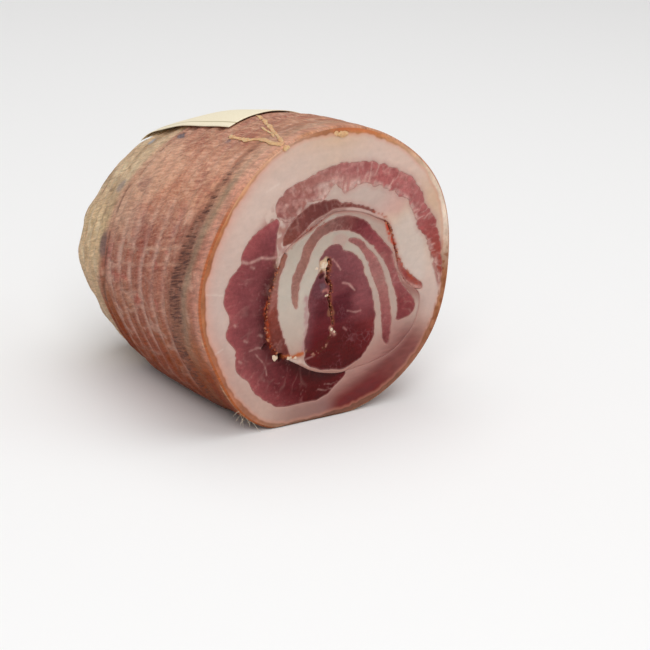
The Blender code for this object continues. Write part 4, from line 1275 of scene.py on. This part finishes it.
# Corners and triangles of a twenty-sided ball, which each crumb starts from
GOLD = (1 + 5 ** 0.5) / 2
BALL_CORNERS = [(-1, GOLD, 0), (1, GOLD, 0), (-1, -GOLD, 0), (1, -GOLD, 0), (0, -1, GOLD), (0, 1, GOLD),
                (0, -1, -GOLD), (0, 1, -GOLD), (GOLD, 0, -1), (GOLD, 0, 1), (-GOLD, 0, -1), (-GOLD, 0, 1)]
BALL_FACES = [(0, 11, 5), (0, 5, 1), (0, 1, 7), (0, 7, 10), (0, 10, 11), (1, 5, 9), (5, 11, 4), (11, 10, 2),
              (10, 7, 6), (7, 1, 8), (3, 9, 4), (3, 4, 2), (3, 2, 6), (3, 6, 8), (3, 8, 9), (4, 9, 5),
              (2, 4, 11), (6, 2, 10), (8, 6, 7), (9, 8, 1)]


def lump(middle, size, seed, turn):
    """Small irregular bit: size is its three widths in millimetres."""
    verts = [Vector(corner).normalized() for corner in BALL_CORNERS]
    tris = BALL_FACES
    for _ in range(2):
        middles, fresh = {}, []

        def half(i, j):
            key = (min(i, j), max(i, j))
            if key not in middles:
                middles[key] = len(verts)
                verts.append(((verts[i] + verts[j]) / 2).normalized())
            return middles[key]

        for a, b, c in tris:
            ab, bc, ca = half(a, b), half(b, c), half(c, a)
            fresh += [(a, ab, ca), (b, bc, ab), (c, ca, bc), (ab, bc, ca)]
        tris = fresh
    p = np.array([tuple(v) for v in verts])
    p = np.sign(p) * np.abs(p) ** 0.8
    p = p * (1 + 0.30 * noise(p[:, 0], p[:, 1], p[:, 2], size=0.9, seed=seed)
             + 0.12 * noise(p[:, 0], p[:, 1], p[:, 2], size=0.35, seed=seed + 1))[:, None]
    p = p * np.array(size) / 2.0
    c, s = math.cos(turn), math.sin(turn)
    p = np.stack([p[:, 0] * c - p[:, 2] * s, p[:, 1], p[:, 0] * s + p[:, 2] * c], -1)
    return np.asarray(middle)[None, :] + p * MM, tris


def join(parts):
    """Several small meshes as one."""
    verts, faces = [], []
    for v, f in parts:
        faces += [tuple(i + len(verts) for i in face) for face in f]
        verts += list(v)
    return verts, faces


# Label: its first angle and depth, what it spans round and along the roll, its skew, its thickness
LABEL_ANGLE = -22.0
LABEL_DEPTH = 48.0
LABEL_TURN = 41.0
LABEL_LENGTH = 76.0
LABEL_WIDTH = 50.0
LABEL_SKEW = (-3.0, 9.0)
LABEL_THICK = 0.35
LABEL_STEPS = (60, 44)


def paper_label():
    """Bare paper on the skin, its near corner lifted and its back edge standing off."""
    along_steps, round_steps = LABEL_STEPS
    grid_y, grid_a = np.meshgrid(np.arange(along_steps + 1) / along_steps,
                                 np.arange(round_steps + 1) / round_steps)
    share_y, share_a = grid_y.ravel(), grid_a.ravel()
    angle = LABEL_ANGLE + LABEL_TURN * share_a + LABEL_SKEW[0] * share_y
    y = LABEL_DEPTH + LABEL_SKEW[1] * share_a + LABEL_LENGTH * share_y
    lift = (1.45 + 0.4 * share_y + 0.35 * np.sin(2 * np.pi * share_y * 1.3 + 1.0) * (1 - share_a) ** 2
            + under_label(angle, y)
            + 0.22 * noise(share_y * 60, share_a * 50, size=16.0, seed=241)
            + 0.9 * (1 - ease(share_a, 0.0, 0.2)) * ease(share_y, 0.2, 0.5) * (1 - ease(share_y, 0.55, 0.85))
            - 0.5 * (1 - ease(share_a, 0.0, 0.3)) * (1 - ease(share_y, 0.0, 0.25)))
    sides = []
    for thick in (0.0, LABEL_THICK):
        at = polar(angle, skin_radius(angle) + lift + thick)
        sides.append(place(at[:, 0], at[:, 1], y))
    wide, tall = along_steps + 1, round_steps + 1
    top = wide * tall
    faces = []
    for i in range(round_steps):
        for j in range(along_steps):
            q = (i * wide + j, i * wide + j + 1, (i + 1) * wide + j + 1, (i + 1) * wide + j)
            faces += [q[::-1], tuple(top + v for v in q)]
    way = (list(range(wide)) + [i * wide + wide - 1 for i in range(1, tall)]
           + [(tall - 1) * wide + j for j in range(wide - 2, -1, -1)]
           + [i * wide for i in range(tall - 2, 0, -1)])
    for a, b in zip(way, way[1:] + way[:1]):
        faces.append((a, b, top + b, top + a))
    flat = np.tile(np.stack([share_y * LABEL_LENGTH, share_a * LABEL_WIDTH], -1) / 100.0, (2, 1))
    return new_mesh("paper_label", np.vstack(sides), faces, uv=flat)


pieces["label"] = paper_label()

# Strips of casing on the skin: depth and angle, then width, thickness, lift, unevenness and seed
STRIPS = (
    (((41, -26.0), (37, -26.8), (34, -26.0), (30, -26.6), (25.5, -26.3), (20, -24.2), (14, -24.4),
      (8.5, -25.2), (3.5, -24.6), (0.9, -24.2)), 2.7, 0.5, 0.2, 0.35, 251),
    (((52, -7.5), (44, -9.4), (37, -12), (29, -14.8), (21, -17.5), (15, -19.4), (9, -21.4), (3.5, -23.2)),
     2.2, 0.45, 0.15, 0.35, 252),
    (((31, -17.0), (25, -18.6), (19, -19.2), (13, -21.6)), 1.4, 0.4, 0.15, 0.4, 253),
)
strands = [ribbon(*strip) for strip in STRIPS]
# their knot on the rim, then two torn flakes of casing on the rim at the top
knot = place(*polar(-24.0, 74.2), 0.4) + np.array([0, -0.2, 0]) * MM
strands += [lump(knot, (3.4, 2.6, 2.6), 254, 0.5), lump(place(2.4, 70.4, 0.6), (6.0, 2.6, 3.0), 266, -0.1),
            lump(place(-0.9, 71.3, 0.6), (3.0, 2.2, 2.4), 267, 0.8)]
verts, faces = join(strands)
pieces["strands"] = new_mesh("casing_strands", verts, faces)

# Frayed ends of the net's cotton, low on the left of the rim
FRAYS = 9
FRAY_STEPS = 7
FRAY_RADIUS = 0.12
rng = np.random.default_rng(7)


def fray():
    """One thin fibre that stands off the rim and droops."""
    first = -150.0 + 12.0 * rng.random()
    depth = 0.4 + 3.5 * rng.random()
    length = 2.0 + 4.0 * rng.random()
    t = np.linspace(0, 1, FRAY_STEPS)
    angle = first + (rng.random() - 0.5) * 9.0 * t
    y = depth + (rng.random() - 0.7) * 3.0 * t
    at = polar(angle, skin_radius(angle) - 0.1 + length * 0.45 * t ** 1.4)
    mid = place(at[:, 0], at[:, 1], y)
    mid[:, 2] -= MM * length * 0.45 * t ** 2
    mid[:, 2] = np.maximum(mid[:, 2], 0.4 * MM)
    verts, faces = [], []
    for j in range(FRAY_STEPS):
        thin = FRAY_RADIUS * MM * (1 - 0.5 * t[j])
        for q in range(4):
            c, s = math.cos(q * math.pi / 2), math.sin(q * math.pi / 2)
            round_it = (c, s, 0.0) if j == 0 else (c, s * 0.7, s * 0.7)
            verts.append(mid[j] + np.array(round_it) * thin)
    for j in range(FRAY_STEPS - 1):
        for q in range(4):
            m = (q + 1) % 4
            faces.append((j * 4 + q, j * 4 + m, (j + 1) * 4 + m, (j + 1) * 4 + q))
    return verts, faces + [(0, 1, 2, 3), tuple(range((FRAY_STEPS - 1) * 4, FRAY_STEPS * 4))]


verts, faces = join([fray() for _ in range(FRAYS)])
pieces["frays"] = new_mesh("net_frays", verts, faces)

# Crumbs of fat half sunk in the cut: sideways, up and behind its plane, three widths, seed, turn
PALE_BITS = (
    ((-4.2, 7.6, 0.5), (4.6, 2.6, 3.6), 261, 0.2), ((-8.0, 6.2, 0.9), (2.6, 1.8, 3.4), 262, 1.1),
    ((-30.5, -34.3, 1.2), (3.4, 2.4, 4.0), 263, 0.6), ((-21.8, -36.0, 0.9), (3.0, 1.8, 2.4), 264, 0.1),
    ((-18.3, -36.6, 0.9), (3.2, 1.8, 2.0), 265, 0.4), ((2.8, -25.6, 0.8), (2.4, 1.4, 2.6), 268, 0.4),
    ((4.6, -27.2, 0.8), (2.6, 1.2, 1.5), 269, 0.7), ((-1.4, -8.2, 0.8), (2.4, 1.4, 1.3), 270, 0.2),
)
verts, faces = join([lump(place(*at), size, seed, turn) for at, size, seed, turn in PALE_BITS])
pieces["pale_bits"] = new_mesh("fat_crumbs", verts, faces)

# Where the spice lies: along the seam between two angles or in the split, how many, how large
SPICE_PLACES = (("seam", -62, -138, 60, 1.05), ("seam", -33, -12, 10, 0.7), ("seam", 52, 90, 34, 1.0),
                ("seam", 94, 102, 6, 0.9), ("crack", 0, 0, 46, 0.75))
split_line = spline([row[:2] for row in CRACK], 6)
spice = []
for kind, first, last, many, big in SPICE_PLACES:
    for _ in range(many):
        s = rng.random()
        size = big * (0.45 + 0.75 * rng.random() ** 2)
        if kind == "seam":
            a = first + (last - first) * s
            u, w = polar(a, seam_radius(a) + rng.normal() * 0.55)
        else:
            u, w = split_line[int(s * (len(split_line) - 1))] + rng.normal(size=2) * 0.85
        at = place(u, w, 0.35 + 0.5 * rng.random())
        widths = (size * 1.3, size, size * (0.9 + 0.9 * rng.random()))
        spice.append(lump(at, widths, 300 + len(spice), rng.random() * 3.0))
verts, faces = join(spice)
pieces["spice"] = new_mesh("spice_crumbs", verts, faces)


# Materials

def add(tree, kind, inputs=None, stops=None, **settings):
    """One node with its settings; an input that is given a node or a socket is linked to it."""
    made = tree.nodes.new(kind)
    for key, value in settings.items():
        setattr(made, key, value)
    if stops:
        bar = made.color_ramp.elements
        while len(bar) < len(stops):
            bar.new(1.0)
        for element, (at, tone) in zip(bar, stops):
            element.position = at
            element.color = (*linear(tone), 1.0)
    for key, value in (inputs or {}).items():
        if isinstance(value, bpy.types.Node):
            value = value.outputs[0]
        if isinstance(value, bpy.types.NodeSocket):
            tree.links.new(value, made.inputs[key])
        elif isinstance(value, str):
            made.inputs[key].default_value = (*linear(value), 1.0)
        else:
            made.inputs[key].default_value = value
    return made


def finish(name, roughness, **shader):
    """A new material with one shader and the values that are the same all over it."""
    mat = bpy.data.materials.new(name)
    mat.use_nodes = True
    tree = mat.node_tree
    tree.nodes.clear()
    out = tree.nodes.new("ShaderNodeOutputMaterial")
    surface = add(tree, "ShaderNodeBsdfPrincipled", {"Roughness": roughness, **shader})
    tree.links.new(surface.outputs[0], out.inputs[0])
    return mat, tree, surface


# Places in millimetres, and the same with the pattern drawn out four times along the roll
TO_MM = 1000.0
DRAWN_OUT = (1000.0, 250.0, 1000.0)


# Cured lean pork, cut by knife: fine wet grain of fibre ends 0.3 to 1 mm across, soft gloss
def cured_lean(name, grain, gloss):
    mat, tree, surface = finish(name, 0.4, **{
        "IOR": 1.42, "Specular IOR Level": 0.16, "Subsurface Weight": 0.10, "Subsurface Scale": 0.0016,
        "Subsurface Radius": (1.0, 0.35, 0.3)})
    on_piece = add(tree, "ShaderNodeTexCoord")
    place_mm = add(tree, "ShaderNodeVectorMath", {0: on_piece.outputs["Object"], 1: DRAWN_OUT},
                   operation='MULTIPLY')
    paint = add(tree, "ShaderNodeAttribute", attribute_name="paint")
    fibres = add(tree, "ShaderNodeTexVoronoi", {"Vector": place_mm, "Scale": 1.0 / grain, "Randomness": 1.0},
                 feature='DISTANCE_TO_EDGE')
    walls = add(tree, "ShaderNodeMapRange", {"Value": fibres.outputs["Distance"], "From Min": 0.0,
                                             "From Max": 0.16, "To Min": 1.12, "To Max": 0.97})
    cloudy = add(tree, "ShaderNodeTexNoise", {"Vector": place_mm, "Scale": 0.55, "Detail": 5.0,
                                              "Roughness": 0.62})
    tone = add(tree, "ShaderNodeMapRange", {"Value": cloudy.outputs["Fac"], "From Min": 0.3, "From Max": 0.7,
                                            "To Min": 0.86, "To Max": 1.14})
    both = add(tree, "ShaderNodeMath", {0: walls, 1: tone}, operation='MULTIPLY')
    colour = add(tree, "ShaderNodeVectorMath", {0: paint.outputs["Color"], "Scale": both}, operation='SCALE')
    tree.links.new(colour.outputs[0], surface.inputs["Base Color"])
    wet = add(tree, "ShaderNodeTexNoise", {"Vector": place_mm, "Scale": 0.22, "Detail": 3.0})
    shine = add(tree, "ShaderNodeMapRange", {"Value": wet.outputs["Fac"], "From Min": 0.35, "From Max": 0.65,
                                             "To Min": gloss - 0.1, "To Max": gloss + 0.14})
    tree.links.new(shine.outputs[0], surface.inputs["Roughness"])
    rough = add(tree, "ShaderNodeTexNoise", {"Vector": place_mm, "Scale": 1.6, "Detail": 4.0,
                                             "Roughness": 0.6})
    height = add(tree, "ShaderNodeMath", {0: fibres.outputs["Distance"], 1: rough.outputs["Fac"]},
                 operation='ADD')
    bump = add(tree, "ShaderNodeBump", {"Strength": 0.28, "Distance": 0.00025, "Height": height})
    tree.links.new(bump.outputs[0], surface.inputs["Normal"])
    return mat


# Cured pork fat, cut by knife: waxy, nearly even, faint veil of connective threads
def cured_fat(name):
    mat, tree, surface = finish(name, 0.42, **{
        "IOR": 1.45, "Specular IOR Level": 0.4, "Subsurface Weight": 0.22, "Subsurface Scale": 0.0022,
        "Subsurface Radius": (1.0, 0.55, 0.4)})
    on_piece = add(tree, "ShaderNodeTexCoord")
    place_mm = add(tree, "ShaderNodeVectorMath", {0: on_piece.outputs["Object"], 1: DRAWN_OUT},
                   operation='MULTIPLY')
    paint = add(tree, "ShaderNodeAttribute", attribute_name="paint")
    veil = add(tree, "ShaderNodeTexNoise", {"Vector": place_mm, "Scale": 0.35, "Detail": 6.0,
                                            "Roughness": 0.6, "Distortion": 0.6})
    tone = add(tree, "ShaderNodeMapRange", {"Value": veil.outputs["Fac"], "From Min": 0.3, "From Max": 0.7,
                                            "To Min": 0.95, "To Max": 1.04})
    colour = add(tree, "ShaderNodeVectorMath", {0: paint.outputs["Color"], "Scale": tone}, operation='SCALE')
    tree.links.new(colour.outputs[0], surface.inputs["Base Color"])
    shine = add(tree, "ShaderNodeMapRange", {"Value": veil.outputs["Fac"], "From Min": 0.35, "From Max": 0.65,
                                             "To Min": 0.38, "To Max": 0.55})
    tree.links.new(shine.outputs[0], surface.inputs["Roughness"])
    grain = add(tree, "ShaderNodeTexNoise", {"Vector": place_mm, "Scale": 1.3, "Detail": 4.0,
                                             "Roughness": 0.6})
    bump = add(tree, "ShaderNodeBump", {"Strength": 0.2, "Distance": 0.0002, "Height": grain.outputs["Fac"]})
    tree.links.new(bump.outputs[0], surface.inputs["Normal"])
    return mat


# Dried natural casing over meat: leathery, wrinkled by the net, dull with a faint waxy gloss
def dried_casing():
    mat, tree, surface = finish("dried_casing", 0.6, **{
        "IOR": 1.43, "Specular IOR Level": 0.2, "Subsurface Weight": 0.06, "Subsurface Scale": 0.001})
    flat = add(tree, "ShaderNodeUVMap", uv_map="flat")
    on_piece = add(tree, "ShaderNodeTexCoord")
    mm = add(tree, "ShaderNodeVectorMath", {0: on_piece.outputs["Object"], "Scale": TO_MM}, operation='SCALE')
    paint = add(tree, "ShaderNodeAttribute", attribute_name="paint")
    held = add(tree, "ShaderNodeAttribute", attribute_name="marks")
    marks = add(tree, "ShaderNodeSeparateColor", {0: held.outputs["Color"]})
    # flat layouts for four patterns, from a pattern's width round the roll and length along it in mm
    way = {}
    for use, wide, long in (("strokes", 0.95, 6.5), ("wrinkles", 7.0, 0.9), ("mesh", 1.6, 2.6),
                            ("threads", 1.6, 6.0)):
        way[use] = add(tree, "ShaderNodeVectorMath", {0: flat, 1: (100.0 / wide, 100.0 / long, 1.0)},
                       operation='MULTIPLY')
    # dark strokes that run along the roll
    stroke = add(tree, "ShaderNodeTexNoise", {"Vector": way["strokes"], "Scale": 1.0, "Detail": 2.0,
                                              "Roughness": 0.6})
    stroke_on = add(tree, "ShaderNodeMath", {0: marks.outputs[0], 1: 0.6, 2: stroke.outputs["Fac"]},
                    operation='MULTIPLY_ADD')
    stroke_on = add(tree, "ShaderNodeMapRange", {"Value": stroke_on, "From Min": 1.03, "From Max": 1.2,
                                                 "To Max": 0.85})
    # wrinkles that run round the roll
    wrinkle = add(tree, "ShaderNodeTexNoise", {"Vector": way["wrinkles"], "Scale": 1.0, "Detail": 4.0,
                                               "Roughness": 0.6})
    tone = add(tree, "ShaderNodeMapRange", {"Value": wrinkle.outputs["Fac"], "From Min": 0.3, "From Max": 0.7,
                                            "To Min": 0.92, "To Max": 1.08})
    # crackle that the fine elastic mesh left
    crackle = add(tree, "ShaderNodeTexVoronoi", {"Vector": way["mesh"], "Scale": 1.0},
                  feature='DISTANCE_TO_EDGE', voronoi_dimensions='2D')
    pale = add(tree, "ShaderNodeMapRange", {"Value": crackle.outputs["Distance"], "From Min": 0.03,
                                            "From Max": 0.22, "To Min": 1.0, "To Max": 0.0})
    pale = add(tree, "ShaderNodeMath", {0: pale, 1: marks.outputs[1]}, operation='MULTIPLY')
    # threads along the roll: beige where they rise, salmon between
    thread = add(tree, "ShaderNodeTexNoise", {"Vector": way["threads"], "Scale": 1.0, "Detail": 4.0,
                                              "Roughness": 0.68, "Distortion": 0.5})
    thread_tone = add(tree, "ShaderNodeMapRange", {"Value": thread.outputs["Fac"], "From Min": 0.32,
                                                   "From Max": 0.68, "To Min": 0.68, "To Max": 1.3})
    thread_on = add(tree, "ShaderNodeMapRange", {"Value": thread.outputs["Fac"], "From Min": 0.5,
                                                 "From Max": 0.66, "To Max": 0.4})
    grey = add(tree, "ShaderNodeTexNoise", {"Vector": mm, "Scale": 0.5, "Detail": 5.0, "Roughness": 0.65})
    fleck = add(tree, "ShaderNodeMapRange", {"Value": grey.outputs["Fac"], "From Min": 0.3, "From Max": 0.7,
                                             "To Min": 0.88, "To Max": 1.12})
    all_tone = add(tree, "ShaderNodeMath", {0: tone, 1: fleck}, operation='MULTIPLY')
    all_tone = add(tree, "ShaderNodeMath", {0: all_tone, 1: thread_tone}, operation='MULTIPLY')
    base = add(tree, "ShaderNodeVectorMath", {0: paint.outputs["Color"], "Scale": all_tone},
               operation='SCALE')
    net = add(tree, "ShaderNodeMath", {0: pale, 1: 0.22}, operation='MULTIPLY')
    base = add(tree, "ShaderNodeMix", {0: net, 6: base, 7: "#d3ab93"}, data_type='RGBA')
    raised = add(tree, "ShaderNodeMath", {0: thread_on, 1: marks.outputs[1]}, operation='MULTIPLY')
    base = add(tree, "ShaderNodeMix", {0: raised, 6: base.outputs[2], 7: "#d8b499"}, data_type='RGBA')
    base = add(tree, "ShaderNodeMix", {0: stroke_on, 6: base.outputs[2], 7: "#4a2b26"}, data_type='RGBA')
    tree.links.new(base.outputs[2], surface.inputs["Base Color"])
    shine = add(tree, "ShaderNodeMapRange", {"Value": grey.outputs["Fac"], "From Min": 0.3, "From Max": 0.7,
                                             "To Min": 0.48, "To Max": 0.72})
    tree.links.new(shine.outputs[0], surface.inputs["Roughness"])
    ridge = add(tree, "ShaderNodeMath", {0: wrinkle.outputs["Fac"], 1: grey.outputs["Fac"]}, operation='ADD')
    ridge = add(tree, "ShaderNodeMath", {0: ridge, 1: net}, operation='ADD')
    ridge = add(tree, "ShaderNodeMath", {0: ridge, 1: thread.outputs["Fac"]}, operation='ADD')
    bump = add(tree, "ShaderNodeBump", {"Strength": 0.75, "Distance": 0.0006, "Height": ridge})
    tree.links.new(bump.outputs[0], surface.inputs["Normal"])
    return mat


# Coated label paper, cut to size: smooth cream with fine fibre mottling and one ruled line near its edge
def label_paper():
    mat, tree, surface = finish("label_paper", 0.62, **{"IOR": 1.5})
    flat = add(tree, "ShaderNodeUVMap", uv_map="flat")
    parts = add(tree, "ShaderNodeSeparateXYZ", {0: flat})
    mottle = add(tree, "ShaderNodeTexNoise", {"Vector": flat, "Scale": 90.0, "Detail": 4.0, "Roughness": 0.6})
    cream = add(tree, "ShaderNodeValToRGB", {0: mottle.outputs["Fac"]},
                stops=((0.3, "#efe3c4"), (0.7, "#f6ecd2")))
    across = add(tree, "ShaderNodeMath", {0: parts.outputs[1], 1: 0.045}, operation='SUBTRACT')
    across = add(tree, "ShaderNodeMath", {0: across}, operation='ABSOLUTE')
    ruled = add(tree, "ShaderNodeMapRange", {"Value": across, "From Min": 0.003, "From Max": 0.0055,
                                             "To Min": 0.7, "To Max": 0.0})
    colour = add(tree, "ShaderNodeMix", {0: ruled, 6: cream, 7: "#9a8a52"}, data_type='RGBA')
    tree.links.new(colour.outputs[2], surface.inputs["Base Color"])
    bump = add(tree, "ShaderNodeBump", {"Strength": 0.15, "Distance": 0.0001,
                                        "Height": mottle.outputs["Fac"]})
    tree.links.new(bump.outputs[0], surface.inputs["Normal"])
    return mat


def loose_bits(name, stops, grain_mm, roughness, patch_mm, **shader):
    """Crumbs, strips and yarn: tones that change from patch to patch, with a fine grain."""
    mat, tree, surface = finish(name, roughness, **shader)
    on_piece = add(tree, "ShaderNodeTexCoord")
    mm = add(tree, "ShaderNodeVectorMath", {0: on_piece.outputs["Object"], "Scale": TO_MM}, operation='SCALE')
    kinds = add(tree, "ShaderNodeTexNoise", {"Vector": mm, "Scale": 1.0 / patch_mm, "Detail": 3.0,
                                             "Roughness": 0.7})
    colour = add(tree, "ShaderNodeValToRGB", {0: kinds.outputs["Fac"]}, stops=stops)
    tree.links.new(colour.outputs[0], surface.inputs["Base Color"])
    grain = add(tree, "ShaderNodeTexNoise", {"Vector": mm, "Scale": 1.0 / grain_mm, "Detail": 3.0})
    bump = add(tree, "ShaderNodeBump", {"Strength": 0.4, "Distance": 0.0002, "Height": grain.outputs["Fac"]})
    tree.links.new(bump.outputs[0], surface.inputs["Normal"])
    return mat


for name in LAYERS:
    pieces[name].data.materials.append(cured_lean(name.replace("_", "_cured_"), 0.9, 0.42))
pieces["core_lean"].data.materials.append(cured_lean("core_cured_lean", 0.7, 0.36))
fat = cured_fat("cured_pork_fat")
pieces["inner_fat"].data.materials.append(fat)
pieces["outer_fat"].data.materials.append(fat)
pieces["casing"].data.materials.append(dried_casing())
pieces["label"].data.materials.append(label_paper())
# Raffia-like strips of dried casing, split by hand: yellow, a little translucent, lengthwise gloss
pieces["strands"].data.materials.append(loose_bits(
    "dried_casing_strip", ((0.3, "#bf8c62"), (0.5, "#d3a878"), (0.7, "#dcbc90")), 0.6, 0.45, 3.0,
    **{"Subsurface Weight": 0.15, "Subsurface Scale": 0.001}))
# Cotton of the net, frayed: off-white matt fibres
pieces["frays"].data.materials.append(loose_bits(
    "cotton_net_yarn", ((0.3, "#d8c4a0"), (0.7, "#f0e6d0")), 0.3, 0.85, 2.0))
# Crumbs of fat and rind torn off by the knife: cream, waxy
pieces["pale_bits"].data.materials.append(loose_bits(
    "torn_fat_crumb", ((0.3, "#c7a184"), (0.5, "#d8bfa6"), (0.7, "#e2cfba")), 0.5, 0.5, 2.5,
    **{"Subsurface Weight": 0.2, "Subsurface Scale": 0.0015, "Subsurface Radius": (1.0, 0.6, 0.4)}))
# Cure rubbed into the roll: paprika, pepper and garlic grains, moist
pieces["spice"].data.materials.append(loose_bits(
    "ground_spice", ((0.34, "#3c1710"), (0.44, "#7a2a18"), (0.54, "#9a4a26"), (0.64, "#b87a4c")),
    0.3, 0.45, 1.3))


# Pieces on their body

slots = {"inner_fat": "inner_fat", "outer_fat": "skin_and_fat", "casing": "skin_and_fat",
         "label": "label_paper"}
for name, obj in pieces.items():
    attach(obj, "root")
for name in list(LAYERS) + ["core_lean"]:
    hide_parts(name)
for name, slot in slots.items():
    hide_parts("outer_fat" if name == "casing" else name)
for name in ("strands", "frays", "pale_bits", "spice"):
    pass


# Floor, light and camera

# Matt studio card, painted white: even and without gloss
card_mesh = bpy.data.meshes.new("studio_card")
card_mesh.from_pydata([(-5, -5, 0), (5, -5, 0), (5, 5, 0), (-5, 5, 0)], [], [(0, 1, 2, 3)])
card = bpy.data.objects.new("studio_card", card_mesh)
card.location.z = -0.0004
bpy.context.scene.collection.objects.link(card)
paper, _, _ = finish("white_matt_card", 0.9, **{"Base Color": (0.9, 0.9, 0.9, 1.0),
                                                 "Specular IOR Level": 0.1})
card.data.materials.append(paper)

world = bpy.data.worlds.new("studio")
world.use_nodes = True
back = world.node_tree.nodes["Background"]
back.inputs[0].default_value = (1.0, 0.99, 0.98, 1.0)
back.inputs[1].default_value = 0.44
bpy.context.scene.world = world


def softbox(name, place_at, aim, size, power):
    """Square soft light, in metres and watts."""
    data = bpy.data.lights.new(name, 'AREA')
    data.shape = 'SQUARE'
    data.size = size
    data.energy = power
    lamp = bpy.data.objects.new(name, data)
    lamp.location = place_at
    lamp.rotation_euler = (Vector(aim) - Vector(place_at)).to_track_quat('-Z', 'Y').to_euler()
    bpy.context.scene.collection.objects.link(lamp)


softbox("key_softbox", (-1.1, -1.5, 1.5), (0, 0, 0.07), 1.2, 20.5)
softbox("top_softbox", (0.2, 0.1, 1.7), (0, 0, 0.05), 1.6, 13.5)
softbox("fill_softbox", (1.6, -1.2, 0.8), (0, 0, 0.07), 1.2, 4.6)

# Camera fitted to the photo: where it looks, its right and its up
sight = Vector((0.5899, 0.7399, -0.3233))
right = Vector((0.7920, -0.6082, 0.0533))
up = Vector((0.1571, 0.2875, 0.9448))
lens = bpy.data.cameras.new("camera")
lens.lens = 144.0
lens.sensor_width = 36.0
stand = Vector((-0.72929, -0.98808, 0.44656))
camera = bpy.data.objects.new("camera", lens)
camera.matrix_world = Matrix.Translation(stand) @ Matrix((right, up, -sight)).transposed().to_4x4()
bpy.context.scene.collection.objects.link(camera)
bpy.context.scene.camera = camera
bpy.context.scene.view_settings.view_transform = 'Standard'
